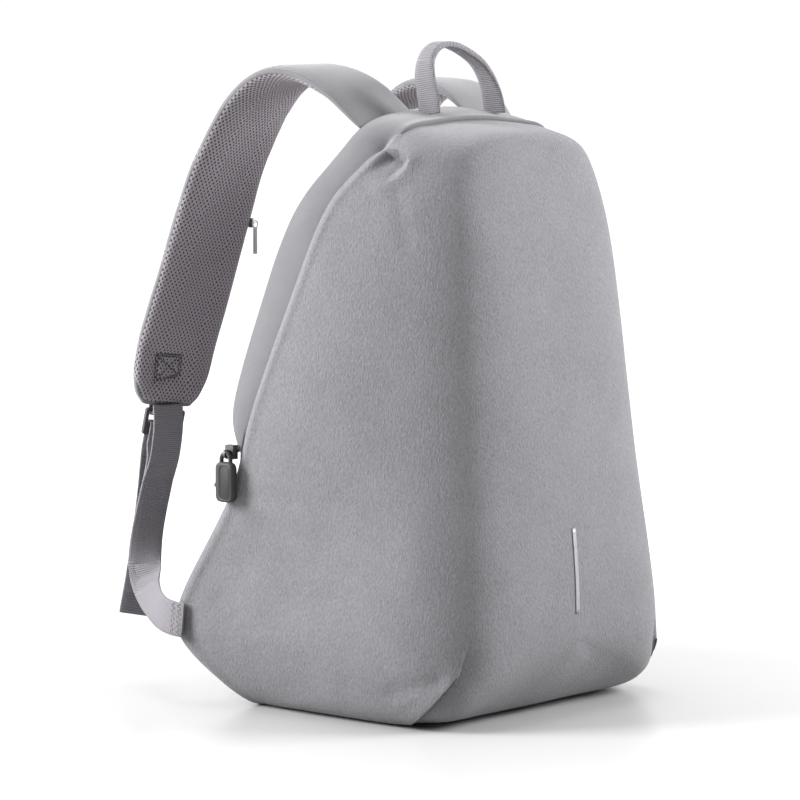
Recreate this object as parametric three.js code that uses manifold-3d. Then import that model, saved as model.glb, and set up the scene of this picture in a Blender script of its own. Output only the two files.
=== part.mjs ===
// A rear-opening day backpack that stands on its base, with its straps arched behind it.
// Millimetres, +Z up. The front faces -Y, the wearer's back is towards +Y, the wearer's left is -X.
import * as THREE from "three";
import Module from "manifold-3d";

const wasm = await Module();
wasm.setup();

// Driving sizes of the bag
const BODY_HEIGHT = 428; // floor to the top of the rim
const HALF_WIDTH = 160; // centre line to the tip of a lower wing
const BODY_DEPTH = 200; // front to back, which the depth shares follow
const SHELL_WALL = 2.5;
const BAND_WALL = 3;
const BAND_WIDTH = 30; // the widest stretch of the rim band
const BAND_TUCK = 7; // how far the band runs in under the shell's edge
const TUCK_GAP = 1.1; // clearance between the shell and the band tucked under it
const PANEL_THICK = 6;
const PANEL_PUFF = 7; // how far the padding stands out at its middle
const SEAM_GAP = 0.35; // clearance between pieces that are sewn together

// Webbing, handle and straps
const WEBBING_WIDTH = 25;
const WEBBING_THICK = 1.6;
const TAIL_LENGTH = 126; // the free end below the ladder lock
const HANDLE_HALF = 36; // centre line to the middle of a handle leg
const HANDLE_RISE = 50; // top of the rim to the top of the grip
const LEG_WIDTH = 20;
const GRIP_WIDTH = 13; // the webbing folded in half
const GRIP_THICK = 4;
const PAD_WIDTH = 66;
const PAD_THICK = 12;
const MESH_SHARE = 0.45; // share of the pad's thickness taken by its spacer mesh

// Small hardware
const LOCK_WIDTH = 33;
const LOCK_THICK = 2.8;
const LOCK_BAR = 2.6;
const LOCK_WINDOW = 9; // the upper window, for the tab and the webbing's turn
const LOCK_SLOT = 3.5; // the slot between the two lower bars
const SLIDER_SIZE = [5, 8, 10];
const PULLER_LENGTH = 38;
const PULLER_WIDTH = 15;
const PULLER_THICK = 5;
const CROSSBAR_RADIUS = 1.2;
const PIVOT_GAP = 0.35;
const WRAP_GAP = 0.65; // clearance of webbing that turns round a bar
const POCKET_RING = 2.6; // radius of the pocket pull's ring, to the wire's middle
const POCKET_WIRE = 0.6;
const POCKET_BAR = [3, 1.4, 20];
const STRIP_LENGTH = 61;
const STRIP_WIDTH = 4.5;
const STRIP_THICK = 0.6;
const STRIP_BASE = 74; // floor to the strip's lower end

// The half outline, from the middle of the base round the wearer's left side to the middle of the top.
// wide, deep and high are the back edge, as shares of HALF_WIDTH, BODY_DEPTH and BODY_HEIGHT.
// cornerWide, cornerDeep and cornerHigh are the front corner that the same rib turns round, and
// spine is the height at which the rib meets the front's centre line. band is the rim band's width
// and puff the side's bulge, as shares of BAND_WIDTH. steps is how many ribs follow until the next row.
const COLUMNS = "wide deep high cornerWide cornerDeep cornerHigh spine band puff steps".split(" ");
const ROW_VALUES = {
  base: [0, 0.5, 0, 0.0, -0.37, 0, 0.11, 0, 0, 2],
  base_side: [0.5, 0.5, 0, 0.43, -0.37, 0, 0.12, 0, 0, 2],
  base_corner: [0.76, 0.45, 0, 0.72, -0.4, 0, 0.13, 0, 0, 2],
  under_wing: [0.88, 0.52, 0.035, 0.77, -0.5, 0.035, 0.15, 0, 0.1, 3],
  wing_tip: [1, 0.68, 0.13, 0.77, -0.535, 0.12, 0.2, 0, -0.1, 2],
  over_wing: [0.965, 0.6, 0.235, 0.74, -0.515, 0.235, 0.28, 0, -0.2, 2],
  wing_root: [0.915, 0.465, 0.35, 0.7, -0.49, 0.35, 0.37, 0, 0.1, 2],
  band_end: [0.89, 0.42, 0.435, 0.68, -0.47, 0.43, 0.44, 0.06, 0.3, 1],
  band_cut: [0.885, 0.47, 0.486, 0.67, -0.455, 0.48, 0.48, 0.6, 0.4, 4],
  side_high: [0.812, 0.365, 0.69, 0.625, -0.415, 0.68, 0.64, 0.95, 0.4, 4],
  shoulder: [0.73, 0.265, 0.84, 0.575, -0.385, 0.83, 0.76, 1, 0.3, 3],
  top_bend: [0.62, 0.13, 0.93, 0.51, -0.355, 0.91, 0.82, 0.95, 0.2, 3],
  top_corner: [0.5, 0.09, 0.975, 0.44, -0.34, 0.95, 0.85, 0.9, 0.15, 3],
  top_side: [0.25, 0.085, 0.995, 0.25, -0.335, 0.965, 0.87, 0.85, 0.1, 3],
  top: [0, 0.085, 1, 0.0, -0.335, 0.97, 0.88, 0.85, 0.1, 1],
};
const ROWS = Object.entries(ROW_VALUES).map(([name, values]) =>
  Object.fromEntries([["name", name], ...values.map((value, i) => [COLUMNS[i], value])]),
);

// The front's centre line and the padded back's centre line, both as shares of BODY_DEPTH.
const CENTRE_LINES = [
  { high: 0, front: -0.4, back: 0.5 },
  { high: 0.08, front: -0.53, back: 0.51 },
  { high: 0.18, front: -0.565, back: 0.5 },
  { high: 0.35, front: -0.53, back: 0.46 },
  { high: 0.5, front: -0.49, back: 0.4 },
  { high: 0.75, front: -0.43, back: 0.29 },
  { high: 0.88, front: -0.37, back: 0.18 },
  { high: 1, front: -0.3, back: 0.085 },
];

const COLOURS = {
  cloth: { color: 0xa3a3a8, roughness: 0.85 },
  knit: { color: 0xa9a9ae, roughness: 0.8 },
  mesh: { color: 0x8b868b, roughness: 0.9 },
  webbing: { color: 0xa39fa3, roughness: 0.75 },
  plastic: { color: 0x6b6b6f, roughness: 0.5 },
  metal: { color: 0xb9b9bb, roughness: 0.3, metalness: 0.9 },
  reflective: { color: 0xd0d0d2, roughness: 0.35 },
};

const V = (x, y, z) => new THREE.Vector3(x, y, z);
const mix = (a, b, t) => a.clone().lerp(b, t);

// A cubic through a table's column, with the slope at each row taken from its neighbours.
function along(xs, ys, x) {
  let i = 0;
  while (i < xs.length - 2 && x > xs[i + 1]) i++;
  const slope = (k) => {
    const a = Math.max(0, k - 1);
    const b = Math.min(xs.length - 1, k + 1);
    return (ys[b] - ys[a]) / (xs[b] - xs[a]);
  };
  const span = xs[i + 1] - xs[i];
  const t = Math.min(1, Math.max(0, (x - xs[i]) / span));
  const rise = ys[i + 1] - ys[i];
  const a = slope(i) * span - rise;
  const b = rise - slope(i + 1) * span;
  return ys[i] + t * rise + t * (1 - t) * ((1 - t) * a + t * b);
}

const column = (table, name) => table.map((row) => row[name]);
const centreLine = (name, z) =>
  along(column(CENTRE_LINES, "high"), column(CENTRE_LINES, name), z / BODY_HEIGHT) * BODY_DEPTH;

// The rows with their mirror images before and after, so that curves cross the centre line level.
const MIRRORED = (() => {
  const flip = (row) => ({ ...row, wide: -row.wide, cornerWide: -row.cornerWide });
  return [flip(ROWS[1]), ...ROWS, flip(ROWS[ROWS.length - 2])];
})();
const ROW_PLACES = (() => {
  const spot = (row) => V(row.wide * HALF_WIDTH, row.deep * BODY_DEPTH, row.high * BODY_HEIGHT);
  const places = [0];
  MIRRORED.slice(1).forEach((row, i) => places.push(places[i] + spot(row).distanceTo(spot(MIRRORED[i]))));
  return places;
})();
const LAST = ROW_PLACES[ROW_PLACES.length - 2];

const placeOf = (name) => ROW_PLACES[1 + ROWS.findIndex((row) => row.name === name)];
const share = (name, place) => along(ROW_PLACES, column(MIRRORED, name), place);

// The back edge at a place along the half outline, on the wearer's left
function backEdge(place) {
  const z = Math.max(0, share("high", place)) * BODY_HEIGHT;
  return V(-share("wide", place) * HALF_WIDTH, share("deep", place) * BODY_DEPTH, z);
}

const SIDE_SHARE = 0.74; // where a rib leaves its straight side
const FACE_SHARE = 0.3; // where it has turned onto the front
const FLAT_SHARE = 0.5; // how much of the front lies level with the centre line

// One rib: from the back edge along the side, round the front corner and to the front's centre line.
// It returns the point at u: 0 to 1 on the side, 1 to 2 round the corner and 2 to 3 over the front.
function ribAt(place) {
  const back = backEdge(place);
  const corner = V(
    -share("cornerWide", place) * HALF_WIDTH,
    share("cornerDeep", place) * BODY_DEPTH,
    Math.max(0, share("cornerHigh", place)) * BODY_HEIGHT,
  );
  const spineHeight = share("spine", place) * BODY_HEIGHT;
  const spine = V(0, centreLine("front", spineHeight), spineHeight);
  const flank = mix(spine, corner, FLAT_SHARE);
  flank.y = centreLine("front", flank.z);
  const side = mix(back, corner, SIDE_SHARE);
  const face = mix(corner, flank, FACE_SHARE);
  const run = corner.clone().sub(back).normalize();
  const middle = mix(back, corner, 0.5);
  const out = middle.clone().sub(V(0, middle.y, BODY_HEIGHT / 2));
  out.addScaledVector(run, -out.dot(run)).normalize();
  const puff = share("puff", place) * BAND_WIDTH;
  const turn = new THREE.QuadraticBezierCurve3(side, corner, face);
  const front = new THREE.CubicBezierCurve3(face, mix(face, flank, 0.5), flank, spine);
  return (u) => {
    if (u >= 2) return front.getPoint(u - 2);
    if (u >= 1) return turn.getPoint(u - 1);
    return mix(back, side, u).addScaledVector(out, puff * 4 * u * (1 - u) * (1 - 0.25 * u));
  };
}

// Where the rim band's front edge crosses a rib, as that rib's u
function seamAt(place) {
  const back = backEdge(place);
  const rib = ribAt(place);
  const reach = Math.max(0, share("band", place)) * BAND_WIDTH;
  return reach / rib(1).distanceTo(back);
}

// Folds in the front shell: a valley (or a ridge, where depth is below 0) between two places that
// are given as shares of HALF_WIDTH, BODY_DEPTH and BODY_HEIGHT. wide and depth are millimetres.
const FOLDS = [
  { name: "top_pleat", from: [0.56, -0.03, 0.945], to: [0.46, -0.16, 0.945], wide: 7, depth: 7 },
  { name: "top_pleat_lip", from: [0.44, -0.1, 0.96], to: [0.5, -0.22, 0.9], wide: 10, depth: -3 },
  { name: "side_crease", from: [0.6, -0.1, 0.89], to: [0.66, 0.0, 0.8], wide: 12, depth: 3 },
  { name: "base_dart", from: [0.7, -0.54, 0.085], to: [0.8, -0.36, 0.0], wide: 7, depth: 5 },
];

function foldDepth(point) {
  const mirrored = V(-Math.abs(point.x), point.y, point.z);
  return FOLDS.reduce((sum, fold) => {
    const place = ([w, d, h]) => V(-w * HALF_WIDTH, d * BODY_DEPTH, h * BODY_HEIGHT);
    const line = new THREE.Line3(place(fold.from), place(fold.to));
    const t = line.closestPointToPointParameter(mirrored, true);
    const gap = line.at(t, V(0, 0, 0)).distanceTo(mirrored) / fold.wide;
    return sum + fold.depth * Math.exp(-gap * gap) * (1 - 0.6 * t);
  }, 0);
}

// Places of the ribs round the whole outline. The second half is the mirror image of the first.
const HALF_PLACES = (() => {
  const places = [];
  ROWS.slice(0, -1).forEach((row, i) => {
    const from = ROW_PLACES[i + 1];
    const to = ROW_PLACES[i + 2];
    for (let k = 0; k < row.steps; k++) places.push(from + ((to - from) * k) / row.steps);
  });
  return [...places, LAST];
})();

const mirror = (point) => V(-point.x, point.y, point.z);

// Closed geometry from rings of points, each ring joined to the next. cap closes both ends; without
// it the last ring joins the first. skip names a side of the ring that is left open.
function loft(rings, { cap = true, skip = -1 } = {}) {
  const count = rings[0].length;
  const corners = [];
  const tri = (...points) => points.forEach((p) => corners.push(p.x, p.y, p.z));
  const last = cap ? rings.length - 1 : rings.length;
  for (let i = 0; i < last; i++) {
    const a = rings[i];
    const b = rings[(i + 1) % rings.length];
    for (let k = 0; k < count; k++) {
      const n = (k + 1) % count;
      if (k !== skip) {
        tri(a[k], a[n], b[n]);
        tri(a[k], b[n], b[k]);
      }
    }
  }
  if (cap) {
    const lid = (ring, flip) => {
      const middle = ring.reduce((sum, p) => sum.add(p), V(0, 0, 0)).divideScalar(count);
      ring.forEach((p, k) => {
        const n = ring[(k + 1) % count];
        if (flip) tri(middle, n, p);
        else tri(middle, p, n);
      });
    };
    lid(rings[0], true);
    lid(rings[rings.length - 1], false);
  }
  const geometry = new THREE.BufferGeometry();
  geometry.setAttribute("position", new THREE.Float32BufferAttribute(corners, 3));
  return geometry;
}

// Normals of a wall whose columns run round the outline, found from the faces round each point.
// closed says whether the last column joins the first.
function wallNormals(columns, closed) {
  const sums = new Map();
  const key = (p) => `${Math.round(p.x * 50)},${Math.round(p.y * 50)},${Math.round(p.z * 50)}`;
  const add = (p, n) => sums.set(key(p), (sums.get(key(p)) || V(0, 0, 0)).add(n));
  const face = (a, b, c) => {
    const n = b.clone().sub(a).cross(c.clone().sub(a));
    [a, b, c].forEach((p) => add(p, n));
  };
  const last = closed ? columns.length : columns.length - 1;
  for (let i = 0; i < last; i++) {
    const a = columns[i];
    const b = columns[(i + 1) % columns.length];
    for (let k = 0; k + 1 < a.length; k++) {
      face(a[k], a[k + 1], b[k + 1]);
      face(a[k], b[k + 1], b[k]);
    }
  }
  return (p) => sums.get(key(p)).clone().normalize();
}

// Columns for the left half as sectionOf gives them, with their mirror images for the right half
function bothSides(places, sectionOf) {
  const half = places.map(sectionOf);
  const right = half.slice(0, -1).reverse().map((points) => points.map(mirror));
  return [...half, ...right];
}

const SHELL_STATIONS = [0, 0.06, 0.25, 0.5, 0.75, 1];
const TURN_STATIONS = [1.25, 1.5, 1.75, 2];
const FRONT_STATIONS = [2.2, 2.45, 2.75, 3];

function shellStations(place) {
  const seam = seamAt(place);
  return [...SHELL_STATIONS.map((t) => seam + (1 - seam) * t), ...TURN_STATIONS, ...FRONT_STATIONS];
}

// The smooth skin before folding: every rib's points, both sides, from the rim's edge to the centre
function skin() {
  const section = (place) => shellStations(place).map((u) => ribAt(place)(u));
  return bothSides(HALF_PLACES, section).slice(0, -1);
}

function pressed(p, normal) {
  const moved = p.clone().addScaledVector(normal, -foldDepth(p));
  moved.z = Math.max(0, moved.z);
  if (Math.abs(moved.x) < 1e-6) moved.x = 0;
  return moved;
}

// The front shell: one cloth wall from the zip's edge round the sides, base and front.
function frontShell() {
  const smooth = skin();
  const normalOf = wallNormals(smooth, true);
  const outer = smooth.map((points) => points.map((p) => pressed(p, normalOf(p))));
  const inward = (p, k, i) => {
    const moved = outer[i][k].clone().addScaledVector(normalOf(p), -SHELL_WALL);
    if (Math.abs(moved.x) < 1e-6) moved.x = 0;
    return moved;
  };
  const inner = smooth.map((points, i) => points.map((p, k) => inward(p, k, i)));
  const rings = outer.map((points, i) => [...points, ...inner[i].slice().reverse()]);
  return loft(rings, { cap: false, skip: smooth[0].length - 1 });
}

// The rim band: a knit strip over the sides and top, its front edge tucked in under the shell's.
const BAND_STATIONS = [
  { across: 0, sink: 0, wall: 1 },
  { across: 0.35, sink: 0.1, wall: 1 },
  { across: 0.8, sink: 0.6, wall: 0.9 },
  { across: 1, sink: 1, wall: 0.5 },
];
function bandColumns() {
  const places = HALF_PLACES.filter((place) => place >= placeOf("band_end") - 1e-6);
  const section = (place) => {
    const rib = ribAt(place);
    const seam = seamAt(place);
    const tuck = seam + BAND_TUCK / rib(1).distanceTo(rib(0));
    return [...BAND_STATIONS.map((row) => seam * row.across), tuck].map((u) => rib(u));
  };
  return bothSides(places, section);
}
function rimBand() {
  const columns = bandColumns();
  const normalOf = wallNormals(columns, false);
  const sinks = [...column(BAND_STATIONS, "sink"), 1].map((t) => t * (SHELL_WALL + TUCK_GAP));
  const walls = [...column(BAND_STATIONS, "wall"), 0.5].map((t) => t * BAND_WALL);
  const rings = columns.map((points) => {
    const at = (inner) => (p, k) =>
      pressed(p, normalOf(p)).addScaledVector(normalOf(p), -sinks[k] - inner * walls[k]);
    return [...points.map(at(0)), ...points.map(at(1)).reverse()];
  });
  return loft(rings);
}

// The padded back: it fills the opening, clear of the walls round it, and its padding stands out.
const PANEL_INSET = 2.6; // clearance between the walls and the panel's rim
const PANEL_CENTRE = 0.45; // height of the middle that the padding swells round
const PANEL_RINGS = [
  { face: "inside", reach: 0.35 },
  { face: "inside", reach: 0.75 },
  { face: "inside", reach: 1 },
  { face: "outside", reach: 1 },
  { face: "outside", reach: 0.93 },
  { face: "outside", reach: 0.75 },
  { face: "outside", reach: 0.4 },
];

// The back's level at a height and a distance from the centre line: it bows between its two edges
function backLevel(x, z) {
  let low = placeOf("base_corner");
  let high = LAST;
  for (let i = 0; i < 24; i++) {
    const mid = (low + high) / 2;
    if (backEdge(mid).z < z) low = mid;
    else high = mid;
  }
  const edge = backEdge(low);
  const level = centreLine("back", z);
  const out = Math.min(1, Math.abs(x / Math.min(-1, edge.x)));
  return level + (edge.y - level) * out ** 4;
}

function backPanel() {
  const inset = BAND_WALL + PANEL_INSET;
  const rim = HALF_PLACES.map(backEdge);
  const whole = [...rim, ...rim.slice(1, -1).reverse().map(mirror)];
  const middle = V(0, 0, PANEL_CENTRE * BODY_HEIGHT);
  const flat = whole.map((p, i) => {
    const before = whole[(i + whole.length - 1) % whole.length];
    const after = whole[(i + 1) % whole.length];
    const run = after.clone().sub(before).setY(0).normalize();
    return p.clone().add(V(run.z, 0, -run.x).multiplyScalar(inset));
  });
  const rings = PANEL_RINGS.map(({ face, reach }) =>
    flat.map((p) => {
      const x = p.x * reach;
      const z = middle.z + (p.z - middle.z) * reach;
      const y = backLevel(x, z) + (p.y - backLevel(p.x, p.z)) * reach ** 6;
      const lift = face === "outside" ? 3 + PANEL_PUFF * (1 - reach ** 4) : 3 - PANEL_THICK;
      return V(x, y + lift, z);
    }),
  );
  return loft(rings);
}

// A strip along a path. Each row holds a point, the direction of the width, the width and thickness.
function ribbon(rows, steps, corner) {
  const path = new THREE.CatmullRomCurve3(rows.map((row) => row.at), false, "centripetal");
  const rings = [];
  for (let i = 0; i <= steps; i++) {
    const t = i / steps;
    const k = Math.min(rows.length - 2, Math.floor(t * (rows.length - 1)));
    const f = t * (rows.length - 1) - k;
    const run = path.getTangent(t);
    const across = mix(rows[k].across, rows[k + 1].across, f);
    across.addScaledVector(run, -across.dot(run)).normalize();
    const up = across.clone().cross(run).normalize();
    const wide = (rows[k].wide + (rows[k + 1].wide - rows[k].wide) * f) / 2;
    const thick = (rows[k].thick + (rows[k + 1].thick - rows[k].thick) * f) / 2;
    rings.push(corner(path.getPoint(t), across, up, wide, thick).reverse());
  }
  return loft(rings);
}
const square = (p, across, up, wide, thick) =>
  [[1, 1], [-1, 1], [-1, -1], [1, -1]].map(([a, b]) =>
    p.clone().addScaledVector(across, a * wide).addScaledVector(up, b * thick),
  );

// The shoulder straps. wide, deep and high place the pad's centre line in shares of the bag's sizes.
// turn and roll twist its width, in degrees about the vertical and about the line front to back.
// pad and thick are shares of PAD_WIDTH and PAD_THICK.
const STRAP_ROWS = [
  { wide: 0.36, deep: 0.099, high: 0.984, turn: 0, roll: 9, pad: 0.86, thick: 0.42 },
  { wide: 0.37, deep: 0.145, high: 1.0, turn: 0, roll: 8, pad: 0.89, thick: 0.7 },
  { wide: 0.39, deep: 0.23, high: 1.032, turn: 0, roll: 5, pad: 0.93, thick: 0.95 },
  { wide: 0.41, deep: 0.36, high: 1.06, turn: 0, roll: 2, pad: 0.97, thick: 1 },
  { wide: 0.435, deep: 0.495, high: 1.062, turn: 0, roll: 0, pad: 1, thick: 1 },
  { wide: 0.458, deep: 0.61, high: 1.03, turn: 2, roll: 0, pad: 1, thick: 1 },
  { wide: 0.483, deep: 0.695, high: 0.97, turn: 5, roll: 0, pad: 1, thick: 1 },
  { wide: 0.512, deep: 0.77, high: 0.9, turn: 8, roll: 0, pad: 1, thick: 1 },
  { wide: 0.54, deep: 0.835, high: 0.806, turn: 11, roll: 0, pad: 1, thick: 1 },
  { wide: 0.57, deep: 0.9, high: 0.7, turn: 13, roll: 0, pad: 1, thick: 1 },
  { wide: 0.606, deep: 0.962, high: 0.6, turn: 15, roll: 0, pad: 1, thick: 1 },
  { wide: 0.62, deep: 0.988, high: 0.545, turn: 15, roll: 0, pad: 0.97, thick: 1 },
  { wide: 0.628, deep: 1.003, high: 0.507, turn: 15, roll: 0, pad: 0.82, thick: 0.95 },
  { wide: 0.631, deep: 1.01, high: 0.49, turn: 15, roll: 0, pad: 0.6, thick: 0.75 },
];
const placeInBag = ({ wide, deep, high }) => V(-wide * HALF_WIDTH, deep * BODY_DEPTH, high * BODY_HEIGHT);
function turned(turn, roll = 0) {
  const about = THREE.MathUtils.degToRad(turn);
  const over = THREE.MathUtils.degToRad(roll);
  return V(Math.cos(about) * Math.cos(over), -Math.sin(about) * Math.cos(over), Math.sin(over));
}
const strapRowsWith = (sag) =>
  STRAP_ROWS.map((row, i) => {
    const t = Math.min(1, (1.2 * i) / (STRAP_ROWS.length - 1));
    return {
      at: placeInBag(row).add(V(0, -0.6, -1).multiplyScalar(sag * Math.sin(Math.PI * t) ** 2)),
      across: turned(row.turn, row.roll),
      wide: row.pad * PAD_WIDTH,
      thick: row.thick * PAD_THICK,
    };
  });
const strapRows = strapRowsWith(0);
const RIGHT_SAG = 13; // how much lower the right strap's arch stands
const PAD_STEPS = 26;

// Half of the pad's section as shares of its half width and half thickness. side is 1 for the cover
// on the outside and -1 for the spacer mesh on the wearer's side.
const padSection = (side) => (p, across, up, wide, thick) => {
  const parting = 2 * MESH_SHARE - 1 + (side * SEAM_GAP) / (2 * thick);
  const outline = [[1, parting], [1, 0.62 * side], [0.86, 0.94 * side], [0.45, side]];
  const half = outline.map(([a, b]) => [a, b]);
  const full = [...half, ...half.slice().reverse().map(([a, b]) => [-a, b])];
  if (side < 0) full.reverse();
  return full.map(([a, b]) => p.clone().addScaledVector(across, a * wide).addScaledVector(up, b * thick));
};

// The frame at the pad's lower end: down along the strap, across it and out of its cover
const padEnd = strapRows[strapRows.length - 1];
const END_RUN = padEnd.at.clone().sub(strapRows[strapRows.length - 3].at).normalize();
const END_ACROSS = padEnd.across.clone().addScaledVector(END_RUN, -padEnd.across.dot(END_RUN)).normalize();
const END_OUT = END_ACROSS.clone().cross(END_RUN).normalize();
const atEnd = (down, out, side = 0) =>
  padEnd.at
    .clone()
    .addScaledVector(END_RUN, down)
    .addScaledVector(END_OUT, out)
    .addScaledVector(END_ACROSS, side);

// Heights down from the pad's end: the lock's bars and openings
const LOCK_TOP = 3.5;
const TOP_BAR = LOCK_TOP + LOCK_BAR / 2;
const MIDDLE_BAR = LOCK_TOP + LOCK_BAR * 1.5 + LOCK_WINDOW;
const LOCK_END = LOCK_TOP + LOCK_BAR * 3 + LOCK_WINDOW + LOCK_SLOT;
const WRAP = Math.hypot(LOCK_THICK, LOCK_BAR) / 2 + WRAP_GAP + WEBBING_THICK / 2;

// A half turn round a bar, from its wearer's side over its upper or lower edge to its outside
const wrapRound = (bar, sign) =>
  [-90, -45, 0, 45, 90].map((degrees) => {
    const angle = THREE.MathUtils.degToRad(degrees);
    return atEnd(bar + sign * WRAP * Math.cos(angle), WRAP * Math.sin(angle));
  });

const webRow = (at, across = END_ACROSS) => ({ at, across, wide: WEBBING_WIDTH, thick: WEBBING_THICK });

// The webbing from the wing up to the ladder lock. across is its width's direction.
const WEBBING_ROWS = [
  { wide: 1.003, deep: 0.62, high: 0.146, across: [0.09, 0, 1] },
  { wide: 1.008, deep: 0.67, high: 0.147, across: [0.09, 0, 1] },
  { wide: 0.99, deep: 0.745, high: 0.152, across: [0.1, -0.1, 1] },
  { wide: 0.935, deep: 0.83, high: 0.163, across: [0.2, -0.25, 0.95] },
  { wide: 0.875, deep: 0.915, high: 0.183, across: [0.45, -0.35, 0.8] },
  { wide: 0.815, deep: 0.98, high: 0.22, across: [0.8, -0.33, 0.45] },
  { wide: 0.76, deep: 1.008, high: 0.275, across: [0.94, -0.28, 0.15] },
  { wide: 0.705, deep: 1.014, high: 0.335, across: [0.96, -0.27, 0] },
  { wide: 0.66, deep: 1.012, high: 0.395, across: [0.965, -0.26, 0] },
];
function webbing() {
  const rising = WEBBING_ROWS.map((row) => webRow(placeInBag(row), V(...row.across)));
  const lock = wrapRound(MIDDLE_BAR, -1);
  const below = [atEnd(LOCK_END + 8, -WRAP), atEnd(LOCK_END, -WRAP), ...lock].map((at) => webRow(at));
  const after = [webRow(atEnd(LOCK_END, WRAP)), webRow(atEnd(LOCK_END + 10, WRAP + 0.6))];
  const start = atEnd(LOCK_END + 10, WRAP + 0.6);
  const hang = [0.2, 0.4, 0.6, 0.8, 1].map((t) => {
    const drop = V(-0.13 * (0.4 + 0.6 * t), 0.06, -1).multiplyScalar(TAIL_LENGTH * t);
    return webRow(start.clone().add(drop), mix(END_ACROSS, turned(24), t));
  });
  const rows = [...rising, ...below, ...after, ...hang];
  return ribbon(rows, (rows.length - 1) * 2, square);
}

// The short loop that holds the ladder lock to the pad's end
function lockTab() {
  const rows = [
    webRow(atEnd(SEAM_GAP, -WRAP)),
    ...wrapRound(TOP_BAR, 1).map((at) => webRow(at)),
    webRow(atEnd(SEAM_GAP, WRAP)),
  ];
  return ribbon(rows, (rows.length - 1) * 2, square);
}

// Joining and cutting of closed bodies
function toSolid(geometry) {
  const flat = geometry.index ? geometry.toNonIndexed() : geometry;
  const spots = flat.attributes.position;
  const seen = new Map();
  const corners = [];
  const faces = [];
  for (let i = 0; i < spots.count; i++) {
    const p = [spots.getX(i), spots.getY(i), spots.getZ(i)];
    const key = p.map((v) => Math.round(v * 1e4)).join(",");
    if (!seen.has(key)) {
      seen.set(key, corners.length / 3);
      corners.push(...p);
    }
    faces.push(seen.get(key));
  }
  const triVerts = new Uint32Array(faces);
  const vertProperties = new Float32Array(corners);
  return new wasm.Manifold(new wasm.Mesh({ numProp: 3, vertProperties, triVerts }));
}
function fromSolid(solid) {
  const mesh = solid.getMesh();
  const geometry = new THREE.BufferGeometry();
  geometry.setAttribute("position", new THREE.BufferAttribute(mesh.vertProperties, 3));
  geometry.setIndex(new THREE.BufferAttribute(mesh.triVerts, 1));
  return geometry;
}
const box = (size, at) => toSolid(new THREE.BoxGeometry(...size).translate(...at));
const rod = (radius, length, at) =>
  toSolid(new THREE.CylinderGeometry(radius, radius, length, 24).translate(...at));
const ring = (radius, wire, at) => toSolid(new THREE.TorusGeometry(radius, wire, 10, 24).translate(...at));

// A plate with rounded corners: wide along X, high along Z, thick along Y
function plate(wide, high, thick, corner) {
  const w = wide / 2 - corner;
  const h = high / 2 - corner;
  const shape = new THREE.Shape();
  shape.moveTo(-w, -h - corner);
  shape.lineTo(w, -h - corner);
  shape.absarc(w, -h, corner, -Math.PI / 2, 0);
  shape.lineTo(w + corner, h);
  shape.absarc(w, h, corner, 0, Math.PI / 2);
  shape.lineTo(-w, h + corner);
  shape.absarc(-w, h, corner, Math.PI / 2, Math.PI);
  shape.lineTo(-w - corner, -h);
  shape.absarc(-w, -h, corner, Math.PI, Math.PI * 1.5);
  const geometry = new THREE.ExtrudeGeometry(shape, { depth: thick, bevelEnabled: false, curveSegments: 5 });
  return toSolid(geometry.translate(0, 0, -thick / 2).rotateX(Math.PI / 2));
}

function ladderLock() {
  const high = LOCK_END - LOCK_TOP;
  const inner = LOCK_WIDTH - 2 * LOCK_BAR;
  const top = high / 2 - LOCK_BAR;
  const body = plate(LOCK_WIDTH, high, LOCK_THICK, 2)
    .subtract(box([inner, LOCK_THICK * 2, LOCK_WINDOW], [0, 0, top - LOCK_WINDOW / 2]))
    .subtract(box([inner, LOCK_THICK * 2, LOCK_SLOT], [0, 0, LOCK_BAR - high / 2 + LOCK_SLOT / 2]));
  const frame = new THREE.Matrix4().makeBasis(END_ACROSS, END_OUT, END_RUN.clone().negate());
  frame.setPosition(atEnd((LOCK_TOP + LOCK_END) / 2, 0));
  return fromSolid(body).applyMatrix4(frame);
}

// The grab handle: webbing legs sewn to the rim band, folded in half along the grip.
const HANDLE_ROWS = [
  { side: -1, lean: 0, rise: 0, fold: 0 },
  { side: -1.03, lean: 0.3, rise: 0.3, fold: 0 },
  { side: -1.06, lean: 0.7, rise: 0.55, fold: 0.2 },
  { side: -0.98, lean: 1, rise: 0.78, fold: 0.8 },
  { side: -0.74, lean: 1.1, rise: 0.95, fold: 1 },
  { side: -0.36, lean: 1.1, rise: 1, fold: 1 },
  { side: 0.14, lean: 1, rise: 0.9, fold: 1 },
  { side: 0.58, lean: 0.8, rise: 0.72, fold: 0.9 },
  { side: 0.84, lean: 0.5, rise: 0.47, fold: 0.5 },
  { side: 0.96, lean: 0.2, rise: 0.22, fold: 0.1 },
  { side: 1, lean: 0, rise: 0, fold: 0 },
];
const HANDLE_LEAN = 4; // how far the grip leans back
function rimHeight(x, y) {
  let best = V(0, 0, 0);
  let nearest = Infinity;
  for (let i = 0; i <= 120; i++) {
    const place = LAST - (i / 120) * 110;
    const rib = ribAt(place);
    for (let k = 0; k <= 20; k++) {
      const p = rib((seamAt(place) * k) / 20);
      const gap = Math.hypot(p.x + Math.abs(x), p.y - y);
      if (gap < nearest) {
        nearest = gap;
        best = p;
      }
    }
  }
  return best.z;
}
const HANDLE_FOOT = -3; // where the legs stand, front to back
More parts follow.
